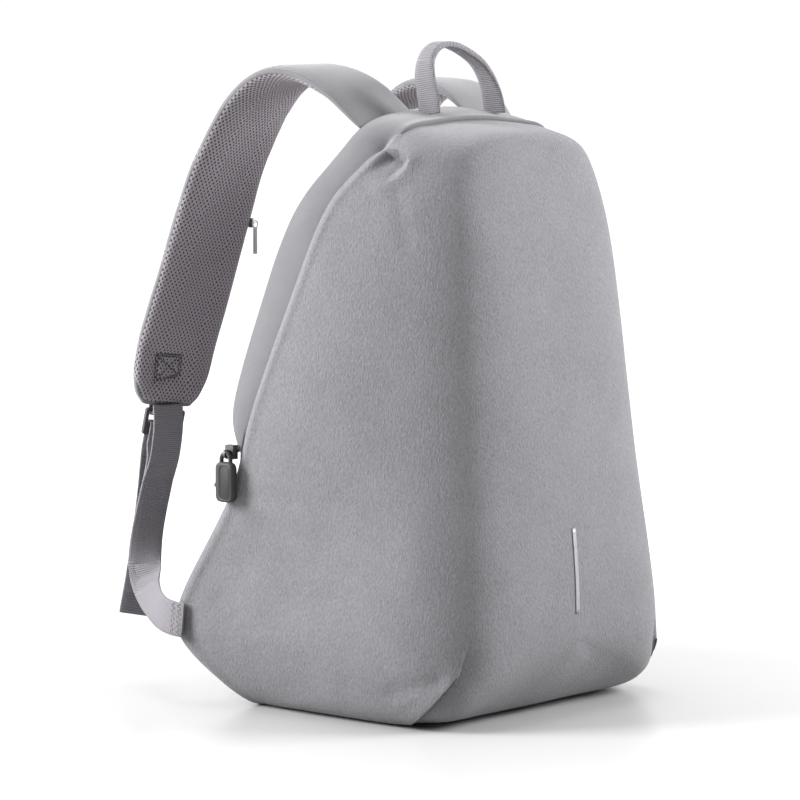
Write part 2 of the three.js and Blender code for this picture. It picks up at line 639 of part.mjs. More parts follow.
function grabHandle() {
  const foot = rimHeight(HANDLE_HALF, HANDLE_FOOT) + SEAM_GAP + 0.6;
  const rows = HANDLE_ROWS.map(({ side, lean, rise, fold }) => ({
    at: V(side * HANDLE_HALF, HANDLE_FOOT + lean * HANDLE_LEAN, foot + rise * HANDLE_RISE),
    across: V(0, 1, 0),
    wide: LEG_WIDTH + (GRIP_WIDTH - LEG_WIDTH) * fold,
    thick: WEBBING_THICK + (GRIP_THICK - WEBBING_THICK) * fold,
  }));
  return ribbon(rows, (rows.length - 1) * 3, square);
}

// The zip's lower end on the wearer's left: its chain, one slider and the moulded puller
const bandEnd = placeOf("band_end");
const bandCut = placeOf("band_cut");
const ZIP_END = backEdge(bandEnd);
const CHAIN_WIDTH = 5;
const CHAIN_THICK = 1.8;
const SLIDER_AT = ZIP_END.clone().add(V(-3.2, 5, 0));
const PIVOT = SLIDER_AT.clone().add(V(-SLIDER_SIZE[0] / 2 - 2.6, 0, -1));
function zipChain() {
  const top = backEdge(bandCut);
  const rows = [-0.02, 0.3, 0.6, 0.88].map((t) => ({
    at: mix(ZIP_END, top, t).add(V(2.2, 3.3, 0)),
    across: V(0, 1, 0),
    wide: CHAIN_WIDTH,
    thick: CHAIN_THICK,
  }));
  return ribbon(rows, 6, square);
}
function zipSlider() {
  const eye = rod(3.1, 2.2, PIVOT.toArray()).subtract(rod(CROSSBAR_RADIUS + PIVOT_GAP, 4, PIVOT.toArray()));
  const body = box(SLIDER_SIZE, SLIDER_AT.toArray());
  const bite = rod(CROSSBAR_RADIUS + PIVOT_GAP, SLIDER_SIZE[1] + 2, PIVOT.toArray());
  return fromSolid(body.subtract(bite).add(eye));
}
function zipPuller() {
  const at = (x, y, z) => PIVOT.clone().add(V(x, y, z)).toArray();
  const neck = 6.5;
  const body = plate(PULLER_WIDTH, PULLER_LENGTH - neck, PULLER_THICK, 4).rotate([0, 0, 90]);
  const down = CROSSBAR_RADIUS - neck - (PULLER_LENGTH - neck) / 2;
  const recess = box([2, PULLER_WIDTH - 5, PULLER_LENGTH - neck - 9], at(-PULLER_THICK / 2 - 0.2, 0, down));
  const arms = [-1, 1].map((side) => box([2.2, 2.4, neck], at(0, side * 3.4, -neck / 2)));
  const bar = rod(CROSSBAR_RADIUS, 2 * 4.6, at(0, 0, 0));
  return fromSolid(body.translate(at(0, 0, down)).subtract(recess).add(arms[0]).add(arms[1]).add(bar));
}

// The small zip pull at the inner edge of the left strap's pocket
const pocketRow = strapRows[8];
const POCKET_AT = pocketRow.at.clone().addScaledVector(pocketRow.across, pocketRow.wide / 2 + SEAM_GAP);
const EYE_AT = POCKET_AT.clone().add(V(4.1, 0, 0));
const EYE_RING = 1.8;
const EYE_WIRE = 0.5;
const RING_DROP = POCKET_RING - POCKET_WIRE - EYE_WIRE - PIVOT_GAP;
const POCKET_PIVOT = EYE_AT.clone().add(V(EYE_RING, 0, 0));
function pocketSlider() {
  const body = box([1.5, 4, 7], POCKET_AT.clone().add(V(1.5, 0, 0)).toArray());
  return fromSolid(body.add(ring(EYE_RING, EYE_WIRE, EYE_AT.toArray())));
}
function pocketPull() {
  const centre = POCKET_PIVOT.clone().add(V(0, 0, -RING_DROP));
  const loop = new THREE.TorusGeometry(POCKET_RING, POCKET_WIRE, 10, 24).rotateX(Math.PI / 2);
  const [wide, thick, long] = POCKET_BAR;
  const bar = box([wide, thick, long], centre.clone().add(V(0, 0, -POCKET_RING - long / 2 + 0.4)).toArray());
  return fromSolid(toSolid(loop.translate(...centre.toArray())).add(bar));
}

// The reflective strip down the front's centre line
function reflectiveStrip() {
  const rows = [0, 0.25, 0.5, 0.75, 1].map((t) => {
    const z = STRIP_BASE + t * STRIP_LENGTH;
    return {
      at: V(0, centreLine("front", z) - STRIP_THICK / 2 - SEAM_GAP - 0.2, z),
      across: V(1, 0, 0),
      wide: STRIP_WIDTH,
      thick: STRIP_THICK,
    };
  });
  return ribbon(rows, 4, square);
}

// The same body on the wearer's right
function mirrored(geometry) {
  const flat = geometry.index ? geometry.toNonIndexed() : geometry;
  const spots = flat.attributes.position;
  const corners = [];
  for (let i = 0; i < spots.count; i += 3) {
    [i, i + 2, i + 1].forEach((k) => corners.push(-spots.getX(k), spots.getY(k), spots.getZ(k)));
  }
  const other = new THREE.BufferGeometry();
  other.setAttribute("position", new THREE.Float32BufferAttribute(corners, 3));
  return other;
}

function named(name, geometry, finish) {
  const mesh = new THREE.Mesh(geometry, new THREE.MeshStandardMaterial({ metalness: 0, ...finish }));
  mesh.name = name;
  return mesh;
}

const bag = new THREE.Group();
const add = (name, geometry, finish) => bag.add(named(name, geometry, finish));
function addBoth(name, geometry, finish) {
  add(`${name}_left`, geometry, finish);
  add(`${name}_right`, mirrored(geometry), finish);
}

add("front_shell", frontShell(), COLOURS.cloth);
add("rim_band", rimBand(), COLOURS.knit);
add("back_panel", backPanel(), COLOURS.mesh);
const pad = (rows, side) => ribbon(rows, PAD_STEPS, padSection(side));
add("strap_cover_left", pad(strapRows, 1), COLOURS.knit);
add("strap_cover_right", mirrored(pad(strapRowsWith(RIGHT_SAG), 1)), COLOURS.knit);
add("strap_mesh_left", pad(strapRows, -1), COLOURS.mesh);
add("strap_mesh_right", mirrored(pad(strapRowsWith(RIGHT_SAG), -1)), COLOURS.mesh);
addBoth("webbing", webbing(), COLOURS.webbing);
addBoth("lock_tab", lockTab(), COLOURS.webbing);
addBoth("ladder_lock", ladderLock(), COLOURS.plastic);
add("grab_handle", grabHandle(), COLOURS.webbing);
add("zip_chain", zipChain(), COLOURS.plastic);
add("zip_slider", zipSlider(), COLOURS.metal);
add("zip_puller", zipPuller(), COLOURS.plastic);
add("pocket_slider", pocketSlider(), COLOURS.metal);
add("pocket_pull", pocketPull(), COLOURS.metal);
add("reflective_strip", reflectiveStrip(), COLOURS.reflective);

// The origin stands under the middle of the whole, on the floor
const extent = new THREE.Box3().setFromObject(bag);
const middleY = (extent.min.y + extent.max.y) / 2;
bag.children.forEach((piece) => piece.geometry.translate(0, -middleY, 0));

export default bag;
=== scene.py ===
import math

import bmesh
import bpy
import numpy as np
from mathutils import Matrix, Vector, noise
from mathutils.bvhtree import BVHTree
from mathutils.kdtree import KDTree


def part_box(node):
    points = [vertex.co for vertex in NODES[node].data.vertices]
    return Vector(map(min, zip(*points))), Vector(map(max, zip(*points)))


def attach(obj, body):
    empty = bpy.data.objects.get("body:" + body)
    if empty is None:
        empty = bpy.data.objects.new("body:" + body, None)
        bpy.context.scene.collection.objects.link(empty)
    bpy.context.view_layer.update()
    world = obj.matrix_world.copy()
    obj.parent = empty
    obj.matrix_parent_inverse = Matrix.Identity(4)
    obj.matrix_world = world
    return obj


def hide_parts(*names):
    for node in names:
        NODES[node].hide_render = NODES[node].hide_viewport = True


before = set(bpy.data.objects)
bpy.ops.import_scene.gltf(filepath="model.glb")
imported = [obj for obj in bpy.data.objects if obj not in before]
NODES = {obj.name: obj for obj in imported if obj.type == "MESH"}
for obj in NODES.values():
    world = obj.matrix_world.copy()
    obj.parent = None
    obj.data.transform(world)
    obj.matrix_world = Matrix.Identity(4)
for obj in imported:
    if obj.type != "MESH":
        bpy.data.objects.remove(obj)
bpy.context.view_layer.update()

# Sizes of the bag, in metres, with the names that the solids use
MM = 0.001
HALF_WIDTH = 0.160
BODY_HEIGHT = 0.428
BODY_DEPTH = 0.200
FRAME_SHIFT = -0.05558
WEBBING_WIDTH = 0.025

FAR = 9.0                # metres, farther off than anything on the bag
FOLD_TAIL = 0.15         # share of a fold's length over which it runs out


def spot(wide, deep, high):
    """A place on the left half of the bag, from its shares of width, depth and height."""
    return Vector((-wide * HALF_WIDTH, deep * BODY_DEPTH + FRAME_SHIFT, high * BODY_HEIGHT))


def mirrored(points):
    """The same places on the other side of the bag."""
    return [Vector((-p.x, p.y, p.z)) for p in points]


# Routes along the straps, the lower webbing and the grab handle
STRAP_ROUTE = [spot(*row) for row in (
    (0.36, 0.099, 0.984), (0.37, 0.145, 1.0), (0.39, 0.23, 1.032), (0.41, 0.36, 1.06),
    (0.435, 0.495, 1.062), (0.458, 0.61, 1.03), (0.483, 0.695, 0.97), (0.512, 0.77, 0.9),
    (0.54, 0.835, 0.806), (0.57, 0.9, 0.7), (0.606, 0.962, 0.6), (0.62, 0.988, 0.545),
    (0.628, 1.003, 0.507), (0.631, 1.01, 0.49))]
WEBBING_ROUTE = [spot(*row) for row in (
    (1.003, 0.62, 0.146), (1.008, 0.67, 0.147), (0.99, 0.745, 0.152), (0.935, 0.83, 0.163),
    (0.875, 0.915, 0.183), (0.815, 0.98, 0.22), (0.76, 1.008, 0.275), (0.705, 1.014, 0.335),
    (0.66, 1.012, 0.395))]
WEBBING_ACROSS = [Vector(a).normalized() for a in (
    (0.09, 0, 1), (0.09, 0, 1), (0.1, -0.1, 1), (0.2, -0.25, 0.95), (0.45, -0.35, 0.8),
    (0.8, -0.33, 0.45), (0.94, -0.28, 0.15), (0.96, -0.27, 0), (0.965, -0.26, 0))]
HANDLE_ROUTE = [Vector((0.036 * side, -0.0595 + 0.004 * lean, 0.4255 + 0.050 * rise))
                for side, lean, rise in (
    (-1, 0, 0), (-1.03, 0.3, 0.3), (-1.06, 0.7, 0.55), (-0.98, 1, 0.78), (-0.74, 1.1, 0.95),
    (-0.36, 1.1, 1), (0.14, 1, 0.9), (0.58, 0.8, 0.72), (0.84, 0.5, 0.47), (0.96, 0.2, 0.22),
    (1, 0, 0))]


class Tone:
    """One socket of a finish; sums with it add the Math nodes."""

    def __init__(self, finish, socket):
        self.finish, self.socket = finish, socket

    def sum(self, operation, *others):
        return self.finish.add("ShaderNodeMath", {"operation": operation},
                               dict(enumerate((self, *others))))

    def __add__(self, other): return self.sum("ADD", other)
    def __sub__(self, other): return self.sum("SUBTRACT", other)
    def __mul__(self, other): return self.sum("MULTIPLY", other)
    def __truediv__(self, other): return self.sum("DIVIDE", other)
    def __rsub__(self, other): return (self * -1) + other
    __radd__ = __add__
    __rmul__ = __mul__

    def wave(self, pitch):
        """From 0 to 1 and back once in every pitch."""
        return (self * (2 * math.pi / pitch)).sum("SINE") * 0.5 + 0.5

    def part(self): return self.sum("FRACT")
    def low(self, other): return self.sum("MINIMUM", other)
    def size(self): return self.sum("ABSOLUTE")

    def between(self, start, end):
        """Rises smoothly from 0 at start to 1 at end."""
        return self.finish.add("ShaderNodeMapRange", {"interpolation_type": "SMOOTHSTEP"},
                               {0: self, 1: start, 2: end, 3: 0.0, 4: 1.0})


class Patterns:
    """Adds nodes to a tree; its patterns are measured in millimetres."""

    def __init__(self, tree):
        self.tree = tree

    def add(self, kind, settings=None, inputs=None, out=0):
        node = self.tree.nodes.new(kind)
        for key, value in (settings or {}).items():
            setattr(node, key, value)
        for key, value in (inputs or {}).items():
            if isinstance(value, Tone):
                self.tree.links.new(value.socket, node.inputs[key])
            else:
                node.inputs[key].default_value = value
        return Tone(self, node.outputs[out])

    def place(self, stretch=(1, 1, 1)):
        """Where a point is on the object, in millimetres."""
        raw = self.add("ShaderNodeTexCoord", out=3)
        return self.add("ShaderNodeVectorMath", {"operation": "MULTIPLY"},
                        {0: raw, 1: tuple(1000 * s for s in stretch)})

    def lay(self):
        """Millimetres along and across a strip, and how near a point is to its edge."""
        raw = self.add("ShaderNodeAttribute", {"attribute_name": "lay"}, out=1)
        return self.axes(self.add("ShaderNodeVectorMath", {"operation": "SCALE"},
                                  {0: raw, 3: 1000.0}))

    def axes(self, vector):
        parts = self.tree.nodes.new("ShaderNodeSeparateXYZ")
        self.tree.links.new(vector.socket, parts.inputs[0])
        return [Tone(self, parts.outputs[i]) for i in range(3)]

    def grain(self, vector, pitch, detail=2.0, warp=0.0):
        return self.add("ShaderNodeTexNoise", {}, {
            "Vector": vector, "Scale": 1 / pitch, "Detail": detail, "Roughness": 0.6,
            "Distortion": warp})

    def mix(self, share, first, second):
        return self.add("ShaderNodeMix", {"data_type": "RGBA"},
                        {0: share, 6: first, 7: second}, out=2)


class Finish(Patterns):
    """A material built up from nodes."""

    def __init__(self, name, **constants):
        self.material = bpy.data.materials.new(name)
        self.material.use_nodes = True
        super().__init__(self.material.node_tree)
        self.shader = next(n for n in self.tree.nodes if n.type == "BSDF_PRINCIPLED")
        for key, value in constants.items():
            self.shader.inputs[key.replace("_", " ")].default_value = value
        self.normal = None

    def raise_by(self, height, depth):
        """Lays one more relief, depth in millimetres, over those before it."""
        inputs = {"Strength": 1.0, "Distance": depth * MM, "Height": height}
        if self.normal:
            inputs["Normal"] = self.normal
        self.normal = self.add("ShaderNodeBump", {}, inputs)

    def done(self, colour=None, roughness=None):
        for name, value in (("Base Color", colour), ("Roughness", roughness),
                            ("Normal", self.normal)):
            if value:
                self.tree.links.new(value.socket, self.shader.inputs[name])
        return self.material


def grey(level, rose=1.012, blue=1.065):
    """A grey with the faint lilac cast of this bag's cloth."""
    return (level * rose, level, level * blue, 1.0)


def shell_cloth():
    """Fine melange cloth of the moulded shell, with a pebbled crepe weave."""
    f = Finish("shell_cloth", IOR=1.45, Specular_IOR_Level=0.2, Sheen_Weight=0.1)
    place = f.place()
    crinkle = f.grain(place, 4.2, 3.0, 0.4)
    cloud = f.grain(place, 34.0, 2.0)
    yarn = f.grain(f.place((1, 1, 0.6)), 0.8, 2.0)
    pebble = f.grain(f.place((1, 1, 0.55)), 1.25, 1.0, 0.3)
    tone = (pebble * 0.5 + yarn * 0.34 + cloud * 0.16).between(0.2, 0.8)
    f.raise_by(crinkle, 0.12)
    f.raise_by(pebble + yarn * 0.2, 0.40)
    return f.done(f.mix(tone, grey(0.118), grey(0.205)), yarn * 0.12 + 0.78)


def knit(name, level):
    """Smooth fine knit with upright wales."""
    f = Finish(name, IOR=1.45, Specular_IOR_Level=0.25, Sheen_Weight=0.18)
    place = f.place()
    x, y, z = f.axes(place)
    loops = (x * 0.7 + y * 0.8).wave(0.75) * (z + (x + y) * 0.25).wave(0.95)
    cloud = f.grain(place, 24.0, 3.0)
    fuzz = f.grain(place, 0.6, 2.0)
    f.raise_by(cloud, 0.5)
    f.raise_by(loops + fuzz * 0.4, 0.06)
    tone = (cloud * 0.4 + fuzz * 0.35 + loops * 0.25).between(0.2, 0.8)
    return f.done(f.mix(tone, grey(level * 0.86), grey(level * 1.14)),
                  fuzz * 0.15 + 0.7)


def spacer_mesh(name, level, pitch=3.4):
    """Air mesh with staggered oval holes, each hole painted near black as the shade inside it."""
    f = Finish(name, IOR=1.45, Specular_IOR_Level=0.18, Sheen_Weight=0.1)
    along, across, _ = f.lay()
    first, second = along / pitch, across / (pitch * 0.72)
    rings = []
    for shift in (0.0, 0.5):
        du, dv = (first + shift).part() - 0.5, (second + shift).part() - 0.5
        rings.append((du * du + dv * dv * 1.1).sum("SQRT"))
    rim = rings[0].low(rings[1])
    yarn = f.grain(f.place(), 0.6, 2.0)
    hole = 1 - (rim + yarn * 0.06).between(0.16, 0.28)
    f.raise_by(1 - hole, 0.9)
    f.raise_by(yarn, 0.12)
    ground = f.mix(yarn, grey(level * 0.85, 1.08, 1.08), grey(level * 1.12, 1.08, 1.08))
    # the holes' near-black colour is painted shade inside them
    return f.done(f.mix(hole, ground, grey(level * 0.2, 1.08, 1.08)), yarn * 0.1 + 0.8)


def webbing(name, level):
    """Woven tape: close ribs across it, fine warp lines, and a firm selvedge."""
    f = Finish(name, IOR=1.48, Specular_IOR_Level=0.3, Sheen_Weight=0.1)
    along, across, edge = f.lay()
    rib, pick = along.wave(1.5), (across + along.wave(3.0) * 0.3).wave(1.1)
    yarn = f.grain(f.place(), 0.45, 2.0)
    selvedge = edge.between(9.6, 10.6) * (1 - edge.between(11.2, 12.4))
    f.raise_by(rib * 0.6 + pick * 0.3 + selvedge * 0.5, 0.4)
    f.raise_by(yarn, 0.08)
    tone = (rib * 0.45 + pick * 0.3 + yarn * 0.25).between(0.15, 0.75)
    return f.done(f.mix(tone, grey(level * 0.72, 1.06, 1.1), grey(level * 1.15, 1.06, 1.1)),
                  yarn * 0.15 + 0.62)


def moulded(name, level, roughness, grain_depth=0.05):
    """Moulded plastic or rubber with a fine spark-eroded grain and faint scuffs."""
    f = Finish(name, IOR=1.5, Specular_IOR_Level=0.4)
    pits = f.grain(f.place(), 0.35, 3.0)
    scuffs = f.grain(f.place((1, 1, 0.15)), 2.5, 4.0, 0.6)
    f.raise_by(pits, grain_depth)
    tone = (pits * 0.4 + scuffs * 0.6).between(0.25, 0.75)
    return f.done(f.mix(tone, grey(level * 0.85), grey(level * 1.2)),
                  scuffs * 0.2 + (roughness - 0.1))


def metal(name, level, roughness):
    """Plated zinc, brushed along its length, a little duller where it is rubbed."""
    f = Finish(name, Metallic=1.0)
    brush = f.grain(f.place((1, 1, 0.06)), 0.3, 3.0)
    rubbed = f.grain(f.place(), 3.0, 3.0)
    f.raise_by(brush, 0.02)
    return f.done(f.mix(rubbed, grey(level * 0.85, 1, 1), grey(level * 1.1, 1, 1)),
                  brush * 0.15 + rubbed * 0.1 + (roughness - 0.12))


def zip_coil():
    """Nylon coil: close slanted turns either side of a centre line."""
    f = Finish("zip_coil", IOR=1.5, Specular_IOR_Level=0.45)
    along, across, _ = f.lay()
    turns = (along + across.size() * 0.4).wave(1.3)
    f.raise_by(turns, 0.6)
    return f.done(f.mix(turns, grey(0.05), grey(0.16)), turns * 0.1 + 0.42)


def reflective():
    """Glass bead tape: pale, with a fine honeycomb and a soft shine."""
    f = Finish("reflective_tape", IOR=1.5, Specular_IOR_Level=0.6, Metallic=0.25)
    cells = f.add("ShaderNodeTexVoronoi", {"feature": "DISTANCE_TO_EDGE"},
                  {"Vector": f.place(), "Scale": 1 / 1.1}).between(0.02, 0.12)
    beads = f.grain(f.place(), 0.2, 2.0)
    f.raise_by(cells * 0.5 + beads * 0.2, 0.06)
    return f.done(f.mix(cells, grey(0.20), grey(0.27)), beads * 0.15 + 0.36)


def sewing_thread(name, level):
    """Twisted polyester thread."""
    f = Finish(name, IOR=1.5, Specular_IOR_Level=0.35, Sheen_Weight=0.1)
    x, y, z = f.axes(f.place())
    twist = (x + y + z).wave(0.45)
    f.raise_by(twist, 0.08)
    return f.done(f.mix(twist, grey(level * 0.75), grey(level * 1.1)), twist * 0.1 + 0.6)


CLOTH = shell_cloth()
BAND_KNIT = knit("band_knit", 0.145)
COVER_KNIT = knit("cover_knit", 0.150)
STRAP_MESH = spacer_mesh("strap_mesh_fabric", 0.25, 4.6)
PANEL_MESH = spacer_mesh("panel_mesh_fabric", 0.22, 4.6)
STRAP_TAPE = webbing("strap_tape", 0.175)
HANDLE_TAPE = webbing("handle_tape", 0.17)
LOCK_PLASTIC = moulded("lock_plastic", 0.05, 0.5)
PULLER_RUBBER = moulded("puller_rubber", 0.030, 0.6, 0.08)
# the puller's broad face takes a darker copy of its rubber: painted shade
PULLER_SHADED_FACE = moulded("puller_face_painted_shade", 0.016, 0.65, 0.06)
DARK_METAL = metal("dark_metal", 0.10, 0.5)
BRIGHT_METAL = metal("bright_metal", 0.62, 0.3)
COIL = zip_coil()
TAPE = reflective()
THREAD = sewing_thread("grey_thread", 0.10)
DARK_THREAD = sewing_thread("dark_thread", 0.03)


def plain_skin(node, corner=35):
    """A working copy of a solid's mesh, with its sides joined and its flat triangles paired."""
    mesh = bmesh.new()
    mesh.from_mesh(NODES[node].data)
    bmesh.ops.remove_doubles(mesh, verts=mesh.verts, dist=0.02 * MM)
    bmesh.ops.dissolve_degenerate(mesh, edges=mesh.edges, dist=0.01 * MM)
    bmesh.ops.join_triangles(mesh, faces=mesh.faces, angle_face_threshold=0.7,
                             angle_shape_threshold=1.2, cmp_seam=False, cmp_sharp=False,
                             cmp_uvs=False, cmp_vcols=False, cmp_materials=False)
    bmesh.ops.recalc_face_normals(mesh, faces=mesh.faces)
    crease = mesh.edges.layers.float.new("crease_edge")
    for edge in mesh.edges:
        if len(edge.link_faces) == 2 and edge.calc_face_angle(0) > math.radians(corner):
            edge[crease] = 0.55
    return mesh


def outer_only(mesh, start):
    """Keeps the side of a thin wall that faces start, up to the wall's cut edges."""
    seed = min(mesh.faces, key=lambda f: (f.calc_center_median() - start).length)
    kept, to_spread = {seed}, [seed]
    while to_spread:
        face = to_spread.pop()
        for edge in face.edges:
            for other in edge.link_faces:
                if other not in kept and edge.calc_face_angle(0) < math.radians(62):
                    kept.add(other)
                    to_spread.append(other)
    bmesh.ops.delete(mesh, geom=[f for f in mesh.faces if f not in kept], context="FACES")


def made(name, mesh, finish, body="bag", levels=0, thick=0, sources=()):
    """Turns worked mesh into a piece: smoothed, finished, and riding on its body."""
    data = bpy.data.meshes.new(name)
    mesh.to_mesh(data)
    mesh.free()
    piece = bpy.data.objects.new(name, data)
    bpy.context.scene.collection.objects.link(piece)
    if thick:
        wall = piece.modifiers.new("wall", "SOLIDIFY")
        wall.thickness, wall.offset = thick, -1
    if levels:
        smooth = piece.modifiers.new("smooth", "SUBSURF")
        smooth.levels = smooth.render_levels = levels
    if thick or levels:
        settle(piece)
    piece.data.shade_smooth()
    piece.data.materials.clear()
    piece.data.materials.append(finish)
    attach(piece, body)
    if sources:
        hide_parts(*sources)
    return piece


def settle(piece):
    """Applies the modifiers of a piece."""
    graph = bpy.context.evaluated_depsgraph_get()
    graph.update()
    done = bpy.data.meshes.new_from_object(piece.evaluated_get(graph))
    piece.modifiers.clear()
    old, piece.data = piece.data, done
    bpy.data.meshes.remove(old)


def points_of(piece):
    """Where a piece's vertices are, a row for each."""
    flat = np.empty(len(piece.data.vertices) * 3)
    piece.data.vertices.foreach_get("co", flat)
    return flat.reshape(-1, 3)


def normals_of(piece):
    return np.array([v.normal for v in piece.data.vertices])


def move_to(piece, points):
    piece.data.vertices.foreach_set("co", np.asarray(points).ravel())
    piece.data.update()


def ramp(values, start, end):
    """Rises from 0 at start to 1 at end."""
    return np.clip((values - start) / (end - start), 0, 1)


def hump(away, wide):
    """A soft bell: 1 where away is 0, and little is left of it at twice wide."""
    return np.exp(-(away / wide) ** 2)


def near_line(points, start, end):
    """How far each point is from a line, and its share of the way along it."""
    start, way = np.array(start), np.array(end) - np.array(start)
    share = np.clip((points - start) @ way / (way @ way), 0, 1)
    return np.linalg.norm(points - start - share[:, None] * way, axis=1), share


def near_path(points, path):
    """How far each point is from a path of straight runs."""
    away = np.full(len(points), FAR)
    for start, end in zip(path, path[1:]):
        away = np.minimum(away, near_line(points, start, end)[0])
    return away


def fold(points, start, end, wide, depth):
    """Depth of one fold at each point: a soft valley that runs out at both ends."""
    away, share = near_line(points, start, end)
    ends = ramp(share, 0, FOLD_TAIL) * ramp(share, 1, 1 - FOLD_TAIL)
    return depth * hump(away, wide) * ends


def ripple(points, pitch, depth, stretch=(1, 1, 1), seed=0.0):
    """Gentle unevenness of cloth, the same on every run."""
    shift = Vector((seed, seed * 1.7, -seed))
    scale = Vector(stretch) / pitch
    return np.array([noise.noise(Vector(p) * scale + shift) for p in points]) * depth


def write_lay(piece, lay):
    """Keeps each point's way along, across and from the middle of a strip, for the weaves."""
    layer = piece.data.attributes.new("lay", "FLOAT_VECTOR", "POINT")
    layer.data.foreach_set("vector", np.array(lay).ravel())


def lay_along(piece, route, across=None):
    """Measures the lay along a strip's route, from the nearest of its straight runs."""
    points, route = points_of(piece), np.array([list(p) for p in route])
    best = np.full(len(points), FAR)
    lay = np.zeros((len(points), 3))
    run = 0.0
    for i in range(len(route) - 1):
        way = route[i + 1] - route[i]
        length = np.linalg.norm(way)
        away, share = near_line(points, route[i], route[i + 1])
        side = np.array(across[i]) if across else np.array((1.0, 0.0, 0.0))
        side = side - way * (side @ way) / length ** 2
        side /= np.linalg.norm(side)
        near = away < best
        best[near] = away[near]
        lay[near, 0] = run + share[near] * length
        lay[near, 1] = (points[near] - route[i]) @ side
        run += length
    lay[:, 2] = np.abs(lay[:, 1])
    write_lay(piece, lay)


def lay_flat(piece, along=(0, 0, 1), across=(1, 0, 0)):
    """Measures the lay of a piece that is nearly flat."""
    points = points_of(piece)
    write_lay(piece, np.stack([points @ np.array(along), points @ np.array(across),
                               np.abs(points[:, 0])], axis=1))


def surface_of(*pieces):
    """One tree of all the pieces' faces, to lay stitches on."""
    spots, faces = [], []
    for piece in pieces:
        base = len(spots)
        spots += [v.co.copy() for v in piece.data.vertices]
        faces += [[base + i for i in p.vertices] for p in piece.data.polygons]
    return BVHTree.FromPolygons(spots, faces)


def touch(surface, point, side, reach):
    """Where a point lands on a surface, from one side if there is one, and the normal there."""
    hit = None
    if side is not None:
        hit, normal, _, _ = surface.ray_cast(point + side * reach, -side)
    if hit is None:
        hit, normal, _, _ = surface.find_nearest(point)
    return hit, normal


def join_rings(mesh, rings, capped=True):
    """Faces from each ring of vertices to the next, and over both ends where capped."""
    for ring, beyond in zip(rings, rings[1:]):
        for n in range(len(ring)):
            m = (n + 1) % len(ring)
            mesh.faces.new((ring[n], ring[m], beyond[m], beyond[n]))
    if capped:
        mesh.faces.new(rings[0][::-1])
        mesh.faces.new(rings[-1])


def fuller(value, power):
    """A power of a signed share, to fill out a round section's corners."""
    return math.copysign(abs(value) ** power, value)


THREAD_SIDES = 6


def stitches(name, path, surface, finish, stitch, gap, thick, side=None):
    """Thread stitches laid on a surface along a path; their sizes are in millimetres."""
    path = [Vector(p) for p in path]
    lengths = [(b - a).length for a, b in zip(path, path[1:])]
    total = sum(lengths)
    step = (stitch + gap) * MM
    count = max(1, int(total / step))

    def at(distance):
        distance = min(max(distance, 0), total - 1e-6)
        for i, length in enumerate(lengths):
            if distance <= length:
                return path[i].lerp(path[i + 1], distance / length)
            distance -= length
        return path[-1]

    mesh = bmesh.new()
    for n in range(count):
        first = n * step + (total - count * step + gap * MM) / 2
        rings = []
        for share in (0, 0.12, 0.5, 0.88, 1):
            point = at(first + stitch * MM * share)
            hit, normal = touch(surface, point, side, 0.02)
            forward = (at(first + stitch * MM) - at(first)).normalized()
            sideways = forward.cross(normal).normalized()
            at_hole = share in (0, 1)
            swell = thick * MM * (0.35 if at_hole else 1)
            middle = hit + normal * (thick * MM * (-0.5 if at_hole else 0.35))
            turns = [2 * math.pi * i / THREAD_SIDES for i in range(THREAD_SIDES)]
            rings.append([mesh.verts.new(
                middle + (sideways * math.cos(a) + normal * math.sin(a)) * swell)
                for a in turns])
        join_rings(mesh, rings)
    bmesh.ops.recalc_face_normals(mesh, faces=mesh.faces)
    return made(name, mesh, finish)


def smooth_path(points, steps=6):
    """A rounder path through the same points."""
    points = [Vector(p) for p in points]
    ends = [points[0] * 2 - points[1], *points, points[-1] * 2 - points[-2]]
    path = []
    for i in range(1, len(ends) - 2):
        a, b, c, d = ends[i - 1:i + 3]
        for n in range(steps):
            t = n / steps
            path.append(0.5 * (2 * b + (c - a) * t + (2 * a - 5 * b + 4 * c - d) * t ** 2
                               + (3 * b - 3 * c + d - a) * t ** 3))
    return path + [points[-1]]


def swept(name, path, across, wide, thick, finish, corners, square, body="bag"):
    """A strip or cord swept along a path; square below 1 fills its section's corners."""
    mesh, rings = bmesh.new(), []
    for i, point in enumerate(path):
        way = (path[min(i + 1, len(path) - 1)] - path[max(i - 1, 0)]).normalized()
        side = across[min(i, len(across) - 1)].copy()
        side = (side - way * side.dot(way)).normalized()
        up = way.cross(side)
        ring = []
        for n in range(corners):
            a = 2 * math.pi * (n + 0.5) / corners
            u, v = fuller(math.cos(a), square) * wide / 2, fuller(math.sin(a), square) * thick / 2
            ring.append(mesh.verts.new(point + side * u + up * v))
        rings.append(ring)
    join_rings(mesh, rings)
    bmesh.ops.recalc_face_normals(mesh, faces=mesh.faces)
    piece = made(name, mesh, finish, body=body)
    lay_along(piece, path, [a.copy() for a in across] if len(across) >= len(path) else
              [across[0]] * len(path))
    return piece


def on_surface(path, surface, side=None, lift=0.0):
    """The same path laid on a surface."""
    landed = [touch(surface, Vector(point), side, 0.03) for point in path]
    return [hit + normal * lift for hit, normal in landed]


# The moulded shell: one outer cloth skin with its pleats, darts and creases
# The line where its left side turns to its front
CORNER_LINE = ((-0.082, -0.127, 0.390), (-0.092, -0.132, 0.355), (-0.100, -0.139, 0.295),
               (-0.109, -0.150, 0.186), (-0.118, -0.159, 0.100), (-0.123, -0.162, 0.056))
CORNER_EASE = 3.2        # millimetres drawn in along that line
CORNER_LEAN = 1.4        # how much more of it on the left side than in the middle

# Mouth of the top pleat: depth and height of its edge, from the rim band round to its run-out
PLEAT_EDGE = ((-0.0600, 0.4030), (-0.0757, 0.4022), (-0.0837, 0.3983), (-0.0868, 0.3951),
              (-0.0866, 0.3903), (-0.0813, 0.3826), (-0.0722, 0.3777), (-0.0560, 0.3850))
PLEAT_DEPTH = 9.5        # millimetres, inside the mouth

